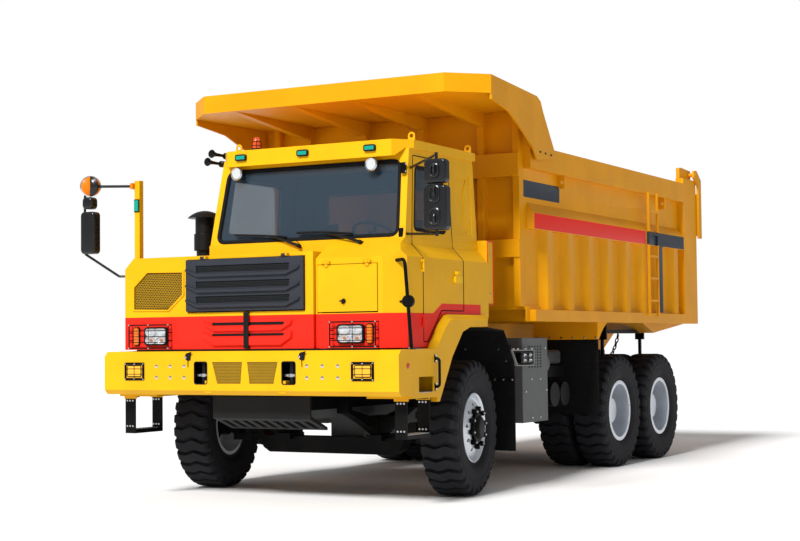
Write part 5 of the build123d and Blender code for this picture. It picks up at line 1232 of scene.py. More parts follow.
NOSE = Wall.front(FRONT_AXLE_Y - 1.500)
CAB_FRONT = Wall.front(FRONT_AXLE_Y - 1.460)
BUMPER = Wall.front(FRONT_AXLE_Y - 1.685)
SCREEN = Wall((0.0, FRONT_AXLE_Y - 1.155, 2.5), up=(0.0, 0.190, 0.940))
LEFT_SIDE = Wall((1.5, 0.0, 2.5), (0.0, 1.0, 0.0), (-0.050, 0.0, 0.940))
RIGHT_SIDE = Wall((-0.776, 0.0, 2.5), (0.0, -1.0, 0.0), (0.056, 0.0, 0.940))
CAB_BACK = Wall.back(FRONT_AXLE_Y + 0.430)


def rect(x0: float, x1: float, z0: float, z1: float) -> list[tuple[float, float]]:
    """Corners of an upright rectangle."""
    return [(x0, z0), (x1, z0), (x1, z1), (x0, z1)]


@dataclass
class Nose:
    """Mesh, louvre slots, bolts and catches of the grille, hood, hatch and bumper."""

    shop: Workshop
    slot_zs: tuple[tuple[float, float], ...] = ((1.966, 2.033), (2.114, 2.181), (2.271, 2.338))
    bay: tuple[tuple[float, float], ...] = (
        (-1.300, 2.288), (-0.860, 2.280), (-0.861, 2.056), (-1.036, 1.909), (-1.467, 1.917), (-1.466, 2.142))
    windows: tuple[tuple[float, ...], ...] = ((-0.376, -0.021, -0.042, -0.315), (0.037, 0.388, 0.338, 0.064))
    window_z: tuple[float, float] = (1.170, 1.382)
    bolt_xs: tuple[float, ...] = (-1.052, -0.882, -0.712, 0.716, 0.886, 1.056)
    bolt_zs: tuple[float, ...] = (1.341, 1.229)
    mesh_pitch: float = 0.0165
    tow_xs: tuple[float, float] = (-0.512, 0.512)

    @staticmethod
    def backing(outline: Sequence[tuple[float, float]]) -> Shape:
        """Thin sheet that stands behind a mesh or in a slot; in black it is painted shade."""
        return slab(outline, 0.002, 0.0005)

    def meshes(self) -> None:
        """Perforated sheets in the grille, the bay beside it and the bumper windows, with black sheets of
        painted shade behind them and in the louvre slots.
        """
        p, shop = self.shop.palette, self.shop
        slots = [rect(-0.676, 0.426, *z) for z in self.slot_zs]
        lid = Wall.front(NOSE.origin[1] - 0.032)
        sheet = Shape.joined([perforated(o, self.mesh_pitch) for o in slots]).moved(y=0.010)
        shop.piece("grille_mesh", lid.set(sheet), p.grille_mesh, "grille_lid", thick=0.003)
        # Black sheets behind the grille mesh: painted shade seen through its holes.
        backs = Shape.joined([self.backing(o) for o in slots]).moved(y=0.0195)
        shop.piece("grille_shade_sheets", lid.set(backs), p.void, "grille_lid")
        shop.piece("bay_mesh", NOSE.set(perforated(self.bay, 0.021, 0.72).moved(y=0.002)), p.mesh,
                   thick=0.002)
        # Black sheets behind the bay mesh, in the louvre slots and behind the bumper windows: painted shade.
        dark = [NOSE.set(self.backing(self.bay).moved(y=0.0085))]
        dark += [NOSE.set(self.backing(rect(-0.503, 0.341, *z)).moved(y=0.004))
                 for z in ((1.7402, 1.7698), (1.6342, 1.6588))]
        z0, z1 = self.window_z
        panes = [[(a, z1), (b, z1), (c, z0), (d, z0)] for a, b, c, d in self.windows]
        holes = Shape.joined([perforated(o, self.mesh_pitch) for o in panes]).moved(y=0.003)
        shop.piece("bumper_mesh", BUMPER.set(holes), p.mesh, thick=0.002)
        dark += [BUMPER.set(self.backing(o).moved(y=0.0065)) for o in panes]
        shop.piece("painted_shade_backs", dark, p.void)

    def fittings(self) -> None:
        """Domed bolts, hooks, tow pins, the centre strap and the hatch latch."""
        p, shop = self.shop.palette, self.shop
        dome = facing(lathe([(0, AXIS), (0, 0.019), (0.003, 0.019), (0.009, 0.013), (0.011, AXIS)], 20), "-y")
        spots = [(x, 0.0, z) for x in self.bolt_xs for z in self.bolt_zs]
        shop.piece("bumper_bolts", BUMPER.set(dome.copies(spots)), p.chrome)
        places = [(x, 0.0, 0.0) for x in self.tow_xs]
        at_pin = BUMPER.origin[1] + 0.070
        sleeve = facing(drum(1.155, 1.395, 0.0285, 24, 0.003), "+z").moved(y=at_pin).copies(places)
        shop.piece("tow_pins", sleeve, p.plastic)
        collar = facing(drum(1.235, 1.268, 0.040, 24, 0.002), "+z").moved(y=at_pin)
        bar = block((-0.068, 0.068), (at_pin - 0.034, at_pin - 0.026), (1.240, 1.264), 0.002)
        shop.piece("pin_collars", Shape.joined([collar, bar]).copies(places), p.steel)
        lip = [(-0.001, -0.020), (-0.001, 0.003), (0.003, 0.005), (0.007, 0.003), (0.007, -0.004),
               (0.002, -0.020)]
        lips, dark = [], []
        for x in self.tow_xs:
            lips.append(BUMPER.set(moulding(rect(x - 0.074, x + 0.074, 1.169, 1.381), 0.02, lip)))
            # A black sheet deep behind each tow slot: painted shade inside the slot.
            dark.append(BUMPER.set(block((x - 0.34, x + 0.12), (0.180, 0.186), (1.110, 1.440), 0.002)))
        shop.piece("tow_slot_lips", lips, p.plastic)
        shop.piece("tow_slot_shade_sheets", dark, p.black)
        outline = [(-0.036, 0.012), (-0.022, 0.040), (0.004, 0.046), (0.046, 0.056), (0.034, 0.014),
                   (0.030, -0.026), (0.004, -0.034), (-0.024, -0.024)]
        hook = Shape.joined([
            slab(rounded(outline, 0.008, 3)[0].tolist(), 0.0135, 0.005).moved(y=-0.0135),
            tube([(-0.002, -0.005, -0.020), (0.0, -0.006, -0.060), (0.001, -0.005, -0.095)], 0.0035, 8)])
        places = [(-0.662, 0.0, 1.428), (0.664, 0.0, 1.428)]
        shop.piece("bumper_hooks", BUMPER.set(hook.copies(places)), p.plastic)
        eye = facing(lathe([(0.0, AXIS), (0.0, 0.017), (0.010, 0.016), (0.0145, 0.009), (0.0145, AXIS)], 20),
                     "-y")
        eyes = eye.moved(-0.024, 0.0, 0.0).copies(places)
        shop.piece("hook_eyes", BUMPER.set(eyes), p.steel)
        strap = Shape.joined([
            block((-0.108, -0.048), (-0.034, -0.028), (1.512, 1.868), 0.002),
            block((-0.104, -0.052), (-0.030, 0.001), (1.512, 1.528), 0.002),
            block((-0.104, -0.052), (-0.030, 0.001), (1.852, 1.868), 0.002)])
        shop.piece("centre_strap", NOSE.set(strap), p.plastic)
        skirts = [NOSE.set(block((-1.440, 0.720), (-0.004, 0.030), (1.486, 1.508), 0.003)),
                  CAB_FRONT.set(block((0.800, 1.380), (-0.004, 0.030), (1.486, 1.508), 0.003))]
        shop.piece("hood_skirt", skirts, p.plastic)
        latch = Shape.joined([
            facing(drum(0.0, 0.012, 0.024, 24, 0.003), "-y"),
            block((-0.034, 0.020), (-0.030, -0.012), (-0.007, 0.007)),
            block((-0.006, 0.006), (-0.022, -0.012), (-0.030, 0.004))]).moved(1.0, -0.008, 1.955)
        shop.piece("hatch_latch", CAB_FRONT.set(latch), p.plastic, "front_hatch")

    def build(self) -> None:
        """Makes the front's small parts."""
        self.meshes()
        self.fittings()


@dataclass(frozen=True)
class LampUnit:
    """Where one headlamp unit stands on its wall."""

    wall: Wall
    pocket: tuple[float, float]
    lamp: tuple[float, float]
    amber: float
    guard: tuple[float, float]


@dataclass
class Lamps:
    """Headlamps, fog lamps and tail lamps with their guards, and the lamps on the roof."""

    shop: Workshop
    pocket_z: tuple[float, float] = (1.518, 1.758)
    lamp_z: tuple[float, float] = (1.549, 1.736)
    guard_z: tuple[float, float] = (1.521, 1.756)
    units: tuple[LampUnit, ...] = (
        LampUnit(NOSE, (-1.503, -0.997), (-1.325, -1.040), -1.433, (-1.494, -1.001)),
        LampUnit(CAB_FRONT, (0.887, 1.377), (0.931, 1.228), 1.285, (0.872, 1.372)))
    fog: tuple[float, float, float, float] = (1.205, 1.445, 1.204, 1.376)

    @staticmethod
    def guard(x: Sequence[float], z: Sequence[float], out: float, bars: int, wire: float) -> Shape:
        """Welded wire guard: a frame, one upright and level wires across it, on four feet."""
        (x0, x1), (z0, z1), xc, zc = x, z, sum(x) / 2, sum(z) / 2
        loop, _ = rounded(rect(x0, x1, z0, z1), 0.012, 4)
        ring = np.stack([loop[:, 0], np.full(len(loop), -out), loop[:, 1]], axis=1)
        parts = [tube(np.vstack([ring, ring[:1]]), wire, 8),
                 tube([(xc, -out, z0), (xc, -out, zc), (xc, -out, z1)], wire * 0.5, 8)]
        for level in np.linspace(z0, z1, bars + 2)[1:-1]:
            parts.append(tube([(x0, -out, level), (xc, -out, level), (x1, -out, level)], wire * 0.6, 8))
        for foot in (x0, x1):
            for level in np.linspace(z0, z1, 4):
                parts.append(tube([(foot, -out, level), (foot, -out / 2, level), (foot, 0.0, level)],
                                  wire * 0.8, 8))
        return Shape.joined(parts)

    @staticmethod
    def nubs(x: Sequence[float], z: Sequence[float], out: float, radius: float) -> Shape:
        """Bright screw heads at the corners and the middles of a guard's long sides."""
        head = facing(drum(0.0, 0.010, radius, 12, 0.003), "-y")
        spots = [(at, -out, level) for at in (x[0], sum(x) / 2, x[1]) for level in z]
        return head.copies(spots)

    @staticmethod
    def bowl(radius: float, depth: float) -> Shape:
        """Reflector bowl that opens forwards."""
        profile = [(depth, AXIS), (depth * 0.92, radius * 0.45), (depth * 0.5, radius * 0.82), (0.0, radius),
                   (-0.003, radius + 0.002), (-0.003, radius + 0.004), (depth + 0.003, radius * 0.5),
                   (depth + 0.005, AXIS)]
        return facing(lathe(profile, 32), "+y")

    def headlamp(self, unit: LampUnit) -> dict[str, Shape]:
        """One headlamp unit.

        Args:
            unit: Its place.

        Returns:
            Shapes for each finish: red backing, black rims, bowls that glow white as a painted reflection
            of chrome, orange bulbs, the clear cover, the amber indicator, the black guard and its bright
            screws.
        """
        (x0, x1), (z0, z1) = unit.lamp, self.lamp_z
        stretch = np.array([1.55, 1.0, 1.0])
        step, zc = (x1 - x0 - 0.020) / 2, (z0 + z1) / 2
        spots = np.array([(x0 + 0.010 + step * (i + 0.5), -0.030,
                           zc + dz) for i in range(2) for dz in (-0.041, 0.041)])
        bowl = self.bowl(0.037, 0.022)
        bulb = facing(drum(0.002, 0.020, 0.012, 16, 0.003), "+y")
        inner = rect(x0 + 0.012, x1 - 0.012, z0 + 0.012, z1 - 0.012)
        section = [(-0.004, 0.0), (-0.004, 0.036), (0.003, 0.042), (0.010, 0.036), (0.012, 0.0)]
        amber = rect(unit.amber - 0.031, unit.amber + 0.031, z0 + 0.002, z1 - 0.002)
        amber_rim = [(-0.002, 0.0), (-0.002, 0.020), (0.004, 0.022), (0.008, 0.016), (0.008, 0.0)]
        px0, px1 = unit.pocket
        shapes = {
            "back": block((px0 + 0.002, px1 - 0.002), (-0.0015, 0.085),
                          (self.pocket_z[0] + 0.002, self.pocket_z[1] - 0.002), 0.003),
            "rims": Shape.joined([moulding(inner, 0.030, section), moulding(amber, 0.028, amber_rim)]),
            "bowls": Shape.joined([
                Shape(bowl.points * stretch, bowl.faces).copies(spots),
                slab(rounded(inner, 0.030)[0].tolist(), 0.004, 0.001).moved(y=-0.010)]),
            "bulbs": Shape(bulb.points * stretch, bulb.faces).copies(spots[::2]),
            "cover": pad(rect(x0 + 0.014, x1 - 0.014, z0 + 0.014, z1 - 0.014), 0.028, 0.004).moved(y=-0.034),
            "amber": pad(amber, 0.028, 0.030, 0.009),
            "guard": self.guard(unit.guard, self.guard_z, 0.060, 3, 0.0065),
            "nubs": self.nubs(unit.guard, self.guard_z, 0.060, 0.009)}
        return {key: unit.wall.set(shape) for key, shape in shapes.items()}

    def fogs(self) -> dict[str, Shape]:
        """Both fog lamps, keyed as a headlamp."""
        x0, x1, z0, z1 = self.fog
        lens = rect(x0 + 0.040, x1 - 0.034, z0 + 0.036, z1 - 0.030)
        frame_section = [(-0.020, 0.003), (-0.020, 0.009), (-0.010, 0.011), (0.0, 0.011), (0.004, 0.003)]
        rim_section = [(-0.003, 0.0), (-0.003, 0.006), (0.003, 0.008), (0.006, 0.005), (0.006, 0.0)]
        wires = self.guard((x0 + 0.006, x1 - 0.006), (z0 + 0.006, z1 - 0.006), 0.0105, 2, 0.0045)
        shapes = {
            "rims": moulding(lens, 0.012, rim_section),
            "yellow": block((x0 + 0.002, x1 - 0.002), (-0.001, 0.058), (z0 + 0.002, z1 - 0.002), 0.002),
            "fog": Shape.joined([pad(lens, 0.012, 0.005),
                                 block((lens[0][0], lens[1][0]), (-0.008, -0.002), (1.287, 1.291), 0.0015)]),
            "guard": Shape.joined([moulding(rect(x0, x1, z0, z1), 0.008, frame_section), wires]),
            "nubs": self.nubs((x0 + 0.010, x1 - 0.010), (z0 + 0.010, z1 - 0.010), 0.004, 0.0095)}
        return {key: BUMPER.set(shape.both()) for key, shape in shapes.items()}

    def front(self) -> None:
        """Headlamps and fog lamps, in place of the plain ones."""
        p = self.shop.palette
        groups = [self.headlamp(unit) for unit in self.units] + [self.fogs()]
        finishes = {
            "back": (p.red, "lamp_backing"), "yellow": (p.yellow, "fog_backing"),
            "bowls": (p.painted_reflection, "reflectors"),
            "bulbs": (p.bulb, "bulbs"), "cover": (p.cover, "lamp_covers"), "amber": (p.amber, "amber_lenses"),
            "fog": (p.fog, "fog_lenses"), "guard": (p.black, "lamp_guards"),
            "nubs": (p.chrome, "guard_screws")}
        rims = [group["rims"] for group in groups]
        self.shop.piece("lamp_rims", rims, p.plastic, slot="lamp_lens", replaces=("lamps",))
        for key, (finish, name) in finishes.items():
            self.shop.piece(name, [group[key] for group in groups if key in group], finish)

    def tail(self) -> None:
        """Tail lamps on the end plate of the frame: housing with red, amber and clear fields."""
        p, shop = self.shop.palette, self.shop
        back = Wall.back(FRONT_AXLE_Y + 6.670 + 0.055)
        case = block((0.192, 0.448), (0.008, 0.054), (0.972, 1.098), 0.005).both()
        shop.piece("tail_cases", back.set(case), p.plastic, slot="lamp_lens")
        fields = ((0.200, 0.280, p.amber, "tail_amber"), (0.284, 0.360, p.red_lens, "tail_red"),
                  (0.364, 0.440, p.cover_white, "tail_clear"))
        for x0, x1, finish, name in fields:
            lens = pad(rect(x0, x1, 0.982, 1.088), 0.008, 0.010).moved(y=0.008).both()
            shop.piece(name, back.set(lens), finish, slot="lamp_lens")

    def roof(self) -> None:
        """Beacon, work lamps, teal markers and the twin horns, in place of the plain ones."""
        p, shop, f = self.shop.palette, self.shop, FRONT_AXLE_Y
        cage: list[Shape] = []
        stand = (-0.339, f - 0.930, 3.524)
        base = lathe([(0.0, AXIS), (0.0, 0.060), (0.026, 0.060), (0.032, 0.052), (0.032, AXIS)], 40)
        dome = [(0.030, AXIS), (0.030, 0.049), (0.036, 0.050), (0.110, 0.046), (0.132, 0.038), (0.145, 0.022),
                (0.150, AXIS)]
        beacon = facing(lathe(dome, 40), "+z").moved(*stand)
        shop.piece("beacon", beacon, p.amber_glow)
        turn = np.linspace(0.0, TAU, 25)
        for height, radius in ((0.060, 0.0515), (0.100, 0.0500)):
            hoop = np.stack([radius * np.cos(turn), radius * np.sin(turn), 0 * turn + height], axis=1)
            cage.append(tube(hoop, 0.0035, 6))
        cage_bar = ((0.052, 0.03), (0.050, 0.1), (0.04, 0.136))
        for angle in np.arange(6) * TAU / 6:
            bar = [(r * math.cos(angle), r * math.sin(angle), z) for r, z in cage_bar]
            cage.append(tube(bar, 0.003, 6))
        housing = [(0.006, AXIS), (0.006, 0.050), (-0.004, 0.058), (-0.004, 0.064), (0.024, 0.064),
                   (0.052, 0.050), (0.076, 0.028), (0.080, AXIS)]
        lens = lathe([(0.000, AXIS), (-0.009, 0.030), (-0.004, 0.0505), (0.008, 0.0505), (0.008, AXIS)], 40)
        ring = lathe([(-0.003, 0.050), (-0.009, 0.055), (-0.010, 0.061), (-0.004, 0.067), (0.012, 0.067),
                      (0.012, 0.050)], 40)
        crown = Shape.joined([facing(base, "+z"), *cage]).moved(*stand)
        black, rings, lenses, marks = [crown], [], [], []
        for x in (-0.489, 1.091):
            at = (x, f - 1.080, 3.290)
            black.append(facing(lathe(housing, 40), "+y").moved(*at))
            black.append(block((x - 0.020, x + 0.020), (f - 1.062, f - 1.054), (3.345, 3.460), 0.002))
            rings.append(facing(ring, "+y").moved(*at))
            lenses.append(facing(lens, "+y").moved(*at))
        bezel = [(-0.004, -0.024), (-0.004, 0.004), (0.004, 0.006), (0.012, 0.002), (0.012, -0.024)]
        for x in (-0.420, 0.320, 1.090):
            wall = Wall((x, f - 1.112, 3.450))
            marks.append(wall.set(pad(rect(-0.052, 0.052, -0.019, 0.019), 0.006, 0.007)))
            black.append(wall.set(moulding(rect(-0.054, 0.054, -0.021, 0.021), 0.008, bezel)))
        post = Wall((-1.527, f - 1.382, 2.995))
        marks.append(post.set(pad(rect(-0.026, 0.026, -0.056, 0.056), 0.008, 0.020)))
        black.append(post.set(pad(rect(-0.032, 0.032, -0.066, 0.066), 0.008, 0.012)))
        trumpet = [(-0.060, AXIS), (-0.060, 0.030), (-0.054, 0.034), (0.010, 0.034), (0.020, 0.014),
                   (0.160, 0.018),
                   (0.215, 0.026), (0.240, 0.036), (0.250, 0.044), (0.252, 0.041), (0.242, 0.033),
                   (0.215, AXIS)]
        for x, z in ((-0.888, 3.445), (-0.835, 3.525)):
            black.append(facing(lathe(trumpet, 32), "-y").moved(x, f - 0.775, z))
            black.append(block((x - 0.012, -0.740), (f - 0.790, f - 0.765), (z - 0.012, z + 0.012), 0.002))
        shop.piece("roof_fittings", black, p.plastic, slot="lamp_lens", replaces=("roof_lights",))
        shop.piece("work_lamp_rings", rings, p.chrome, slot="lamp_lens")
        shop.piece("work_lamp_lenses", lenses, p.lamp)
        shop.piece("marker_lenses", marks, p.teal)

    def build(self) -> None:
        """Makes every lamp."""
        self.front()
        self.tail()
        self.roof()


@dataclass
class Cab:
    """Glass seals, wipers, handles, brackets and seams of the cab."""

    shop: Workshop

    @staticmethod
    def windscreen() -> list[tuple[float, float]]:
        """Corners of the windscreen opening on its own sloping wall."""
        up = 0.959 / 0.940
        z0, z1 = (2.590 - 2.5) * up, (3.320 - 2.5) * up
        return [(-0.684, z0), (1.408, z0), (1.364, z1), (-0.635, z1)]

    @staticmethod
    def side(rear: float, front: float, z0: float, z1: float, sign: int) -> list[tuple[float, float]]:
        """Corners of a side window on its wall, its front edge leaning back."""
        up = 0.9416 / 0.940
        a, b = sign * (FRONT_AXLE_Y + front), sign * (FRONT_AXLE_Y + rear)
        return [(a, (z0 - 2.5) * up), (b, (z0 - 2.5) * up), (b, (z1 - 2.5) * up),
                (a + sign * 0.095, (z1 - 2.5) * up)]

    def seals(self) -> None:
        """Black rubber round every pane and round the door."""
        p, shop = self.shop.palette, self.shop
        wide = [(-0.020, -0.012), (-0.019, -0.004), (-0.010, 0.007), (0.006, 0.011), (0.018, 0.007),
                (0.020, -0.004), (0.002, -0.004), (0.0, -0.012)]
        slim = [(-0.026, -0.012), (-0.024, -0.007), (-0.006, 0.006), (0.010, 0.006), (0.012, -0.003),
                (0.0, -0.004), (0.0, -0.012)]
        fixed = [SCREEN.set(moulding(self.windscreen(), 0.085, wide)),
                 RIGHT_SIDE.set(moulding(self.side(0.100, -0.900, 2.680, 3.270, -1), 0.06, slim)),
                 CAB_BACK.set(moulding(rect(-1.050, 0.320, 2.660, 3.180), 0.065, slim))]
        shop.piece("window_seals", fixed, p.rubber)
        door = LEFT_SIDE.set(moulding(self.side(-0.290, -0.955, 2.640, 3.270, 1), 0.06, slim))
        shop.piece("door_seal", door, p.rubber, "door")
        f = FRONT_AXLE_Y
        edge = [(1.620, f - 0.980, 1.560), (1.620, f - 0.942, 1.560), (1.620, f - 0.642, 1.862),
                (1.620, f - 0.150, 1.862),
                (1.620, f - 0.150, 2.370), (1.500, f - 0.150, 2.500), (1.4535, f - 0.150, 3.375),
                (1.4535, f - 0.900, 3.375), (1.500, f - 1.020, 2.500), (1.620, f - 1.020, 2.370),
                (1.620, f - 1.020, 1.560), (1.620, f - 0.980, 1.560)]
        lip = tube(smooth_path(edge, 0.012, 4), 0.0045, 8)
        shop.piece("door_edge_seal", lip, p.rubber, "door")

    def wipers(self) -> None:
        """Two wipers parked along the foot of the windscreen."""
        p, shop = self.shop.palette, self.shop
        parts = []
        sets = (((0.315, 0.016), (-0.063, 0.134), ((-0.464, 0.158), (0.161, 0.110)), 0.036),
                ((1.058, 0.009), (0.574, 0.144), ((0.282, 0.149), (0.919, 0.115)), 0.105))
        for pivot, tip, blade, stand in sets:
            a, b = np.array(pivot), np.array(tip)
            mid = a * 0.45 + b * 0.55 + (0.0, 0.010)
            arm = [(a[0], -stand, a[1]), (mid[0], -0.052, mid[1]), (b[0], -0.030, b[1])]
            parts.append(tube(smooth_path(arm, 0.12), np.linspace(0.014, 0.009, 8), 8))
            for lift, radius in ((0.014, 0.0080), (0.028, 0.0105)):
                ends = [(x, -lift, z) for x, z in (blade[0], tip, blade[1])]
                parts.append(tube(smooth_path(ends, 0.10), radius, 6))
            parts.append(facing(drum(-0.006, stand + 0.012, 0.019, 20, 0.004), "-y").moved(a[0], 0.0, a[1]))
        hose = [(0.335, -0.002, -0.040), (0.352, -0.030, 0.010), (0.300, -0.046, 0.060),
                (0.190, -0.044, 0.090)]
        parts.append(tube(smooth_path(hose, 0.03), 0.0035, 8))
        shop.piece("wipers", SCREEN.set(Shape.joined(parts)), p.plastic)

    def handles(self) -> None:
        """Door handle, rail feet with their bolts, and the cable down the pillar."""
        p, shop, f = self.shop.palette, self.shop, FRONT_AXLE_Y
        side = Wall.left(1.620)
        y = f - 0.295
        shell = Shape.joined([
            pad(rect(y - 0.078, y + 0.078, 2.136, 2.208), 0.020, 0.026),
            pad(rect(y - 0.050, y + 0.060, 2.212, 2.262), 0.016, 0.016),
            facing(drum(0.0, 0.030, 0.014, 20, 0.002), "-y").moved(y - 0.028, 0.0, 2.238)])
        shop.piece("door_handle", side.set(shell), p.bright, "door")
        feet, bolts = [], []
        foot_wall = Wall.left(1.700)
        bolt = facing(hex_head(0.011, 0.009), "-y")
        for z in (1.130, 1.400):
            y = f - 0.940
            feet.append(foot_wall.set(pad(rect(y - 0.024, y + 0.024, z - 0.038, z + 0.038), 0.012, 0.006)))
            for dz in (-0.026, 0.026):
                bolts.append(foot_wall.set(bolt.moved(y, -0.006, z + dz)))
        y = f - 1.370
        top = Wall((0.0, 0.0, 1.490), up=(0.0, 1.0, 0.0))
        feet.append(top.set(pad(rect(1.640, 1.698, y - 0.045, y + 0.045), 0.012, 0.008)))
        bolts += [top.set(bolt.moved(1.669, -0.008, y + dy)) for dy in (-0.033, 0.033)]
        shop.piece("rail_feet", feet, p.black)
        shop.piece("rail_bolts", bolts, p.steel)
        cable = smooth_path([(1.408, f - 1.02, 3.230), (1.452, f - 1.055, 3.150),
                             (1.500, f - 1.165, 2.620), (1.600, f - 1.215, 2.420),
                             (1.604, f - 1.330, 2.330)], 0.10)
        shop.piece("pillar_cable", tube(cable, 0.0065, 8), p.plastic)
        mark = lathe([(0.0, AXIS), (0.0, 0.026), (0.008, 0.026), (0.014, 0.016), (0.016, AXIS)], 28)
        spots = mark.moved(1.709, f - 1.511, 1.338)
        shop.piece("side_marker", spots.both(), p.marker)

    def cabinet(self) -> None:
        """Red edge and bolts of the cabinet behind the cab, and the hanging steps' bolts and clamps."""
        p, shop, f = self.shop.palette, self.shop, FRONT_AXLE_Y
        wall = Wall.left(1.608)
        section = [(-0.010, -0.002), (-0.010, 0.004), (0.0, 0.006), (0.002, -0.002)]
        edge = wall.set(moulding(rect(f + 0.434, f + 0.578, 1.938, 2.600), 0.020, section))
        shop.piece("cabinet_edge", edge, p.red)
        bolt = facing(hex_head(0.011, 0.008), "-y")
        bolts = [wall.set(bolt.copies([(f + 0.506, 0.0, z) for z in (2.494, 2.445, 2.051)]))]
        spots = [(x, 0.0, z) for x in (1.550, 1.585, 1.620) for z in (0.985, 0.725)]
        bolts.append(Wall.front(f - 1.425).set(bolt.copies(spots).both()))
        bolts.append(Wall.front(f - 0.977 - 0.012).set(bolt.copies(spots).both()))
        shop.piece("cabinet_bolts", bolts, p.steel)
        clamp_ys = (f - 1.425, f - 0.989)
        clamps = [block((1.512, 1.658), (y - 0.008, y + 0.020), (1.005, 1.050), 0.003) for y in clamp_ys]
        shop.piece("step_clamps", Shape.joined(clamps).both(), p.yellow)

    def treads(self) -> None:
        """Bare metal treads in the step pockets, on the hanging steps and on the step boxes."""
        p, shop, f = self.shop.palette, self.shop, FRONT_AXLE_Y
        spans = (((1.500, 1.696), (f - 1.275, f - 0.975), 1.0815),
                 ((1.524, 1.646), (f - 1.408, f - 0.982), 0.6915),
                 ((1.500, 1.640), (f - 1.300, f - 0.975), 1.4915))
        parts = []
        for (x0, x1), (y0, y1), z in spans:
            parts.append(block((x0, x1), (y0, y1), (z - 0.002, z + 0.002), 0.0008))
            tooth = block((-0.006, 0.006), (-0.012, 0.012), (0.0, 0.005), 0.0015)
            xs, ys = np.arange(x0 + 0.02, x1 - 0.01, 0.035), np.arange(y0 + 0.03, y1 - 0.02, 0.05)
            gx, gy = np.meshgrid(xs, ys)
            parts.append(tooth.copies(np.stack([gx.ravel(), gy.ravel(), 0 * gx.ravel() + z + 0.001], axis=1)))
        shop.piece("step_treads", Shape.joined(parts).both(), p.steel)

    @staticmethod
    def at_round_mirror(shape: Shape) -> Shape:
        """A shape along +X moved to the round mirror's place and slant."""
        return facing(shape, "-y").turned("Z", 50.0).moved(-1.960, FRONT_AXLE_Y - 1.600, 3.200)

    def mirrors(self) -> None:
        """Mirror glass, the round mirror's back and rim, and the arms' brackets."""
        p, shop, f = self.shop.palette, self.shop, FRONT_AXLE_Y
        left = Wall.back(f - 1.380 + 0.049, 1.960)
        right = Wall.back(f - 1.600 + 0.051, -1.960)
        glass = [left.set(pad(rect(-0.105, 0.105, 2.605, 3.000), 0.03, 0.003)),
                 left.set(pad(rect(-0.100, 0.100, 3.045, 3.245), 0.03, 0.003).moved(y=0.006)),
                 right.set(pad(rect(-0.074, 0.086, 2.520, 2.918), 0.03, 0.003)),
                 right.set(pad(rect(-0.040, 0.066, 2.975, 3.080), 0.02, 0.003).moved(y=0.005))]
        shop.piece("mirror_glass", glass, p.chrome, slot="cab_pane")
        rim = lathe([(-0.004, 0.098), (-0.006, 0.108), (0.016, 0.110), (0.018, 0.100), (0.012, 0.096)], 48)
        dish = lathe([(0.013, AXIS), (0.013, 0.102), (0.016, 0.103), (0.039, 0.072), (0.050, 0.030),
                      (0.052, AXIS)], 48)
        shop.piece("round_mirror_rim", self.at_round_mirror(rim), p.chrome)
        shop.piece("round_mirror_back", self.at_round_mirror(dish), p.orange)
        plates, bolts = [], []
        bolt = hex_head(0.010, 0.008)
        for z, y, x in ((3.240, -1.030, 1.452), (2.600, -1.110, 1.470)):
            y += f
            plates.append(block((x - 0.050, x), (y - 0.032, y + 0.006), (z - 0.052, z + 0.052), 0.004))
            bolts += [bolt.moved(x, y - 0.013, z + dz) for dz in (-0.036, 0.036)]
        shop.piece("mirror_brackets", plates, p.black)
        shop.piece("bracket_bolts", bolts, p.steel)
        sockets = []
        section = [(-0.012, -0.002), (-0.010, 0.006), (0.0, 0.012), (0.010, 0.008), (0.014, -0.002)]
        for z, size, sign in ((3.150, 0.038, 1), (2.930, 0.048, 1), (2.720, 0.048, -1)):
            front = Wall((1.960, f - 1.380 - 0.049, z))
            lobe = rect(-size, size, -size * 1.5, size * 1.5)
            sockets.append(front.set(moulding(lobe, size * 0.9, section)))
            stub = np.array([(0.0, -0.004, sign * size * 1.5), (0.0, -0.016, 0.0),
                             (0.0, 0.004, -sign * size * 0.6)])
            sockets.append(front.set(tube(smooth_path(stub, 0.03), 0.012, 10)))
        shop.piece("mirror_sockets", sockets, p.mirror)
        foot = block((-1.590, -1.555), (f - 1.420, f - 1.290), (3.170, 3.230), 0.003)
        shop.piece("post_bracket", foot, p.orange)

    def build(self) -> None:
        """Makes the cab's small parts."""
        self.seals()
        self.wipers()
        self.handles()
        self.cabinet()
        self.treads()
        self.mirrors()


# Body and chassis


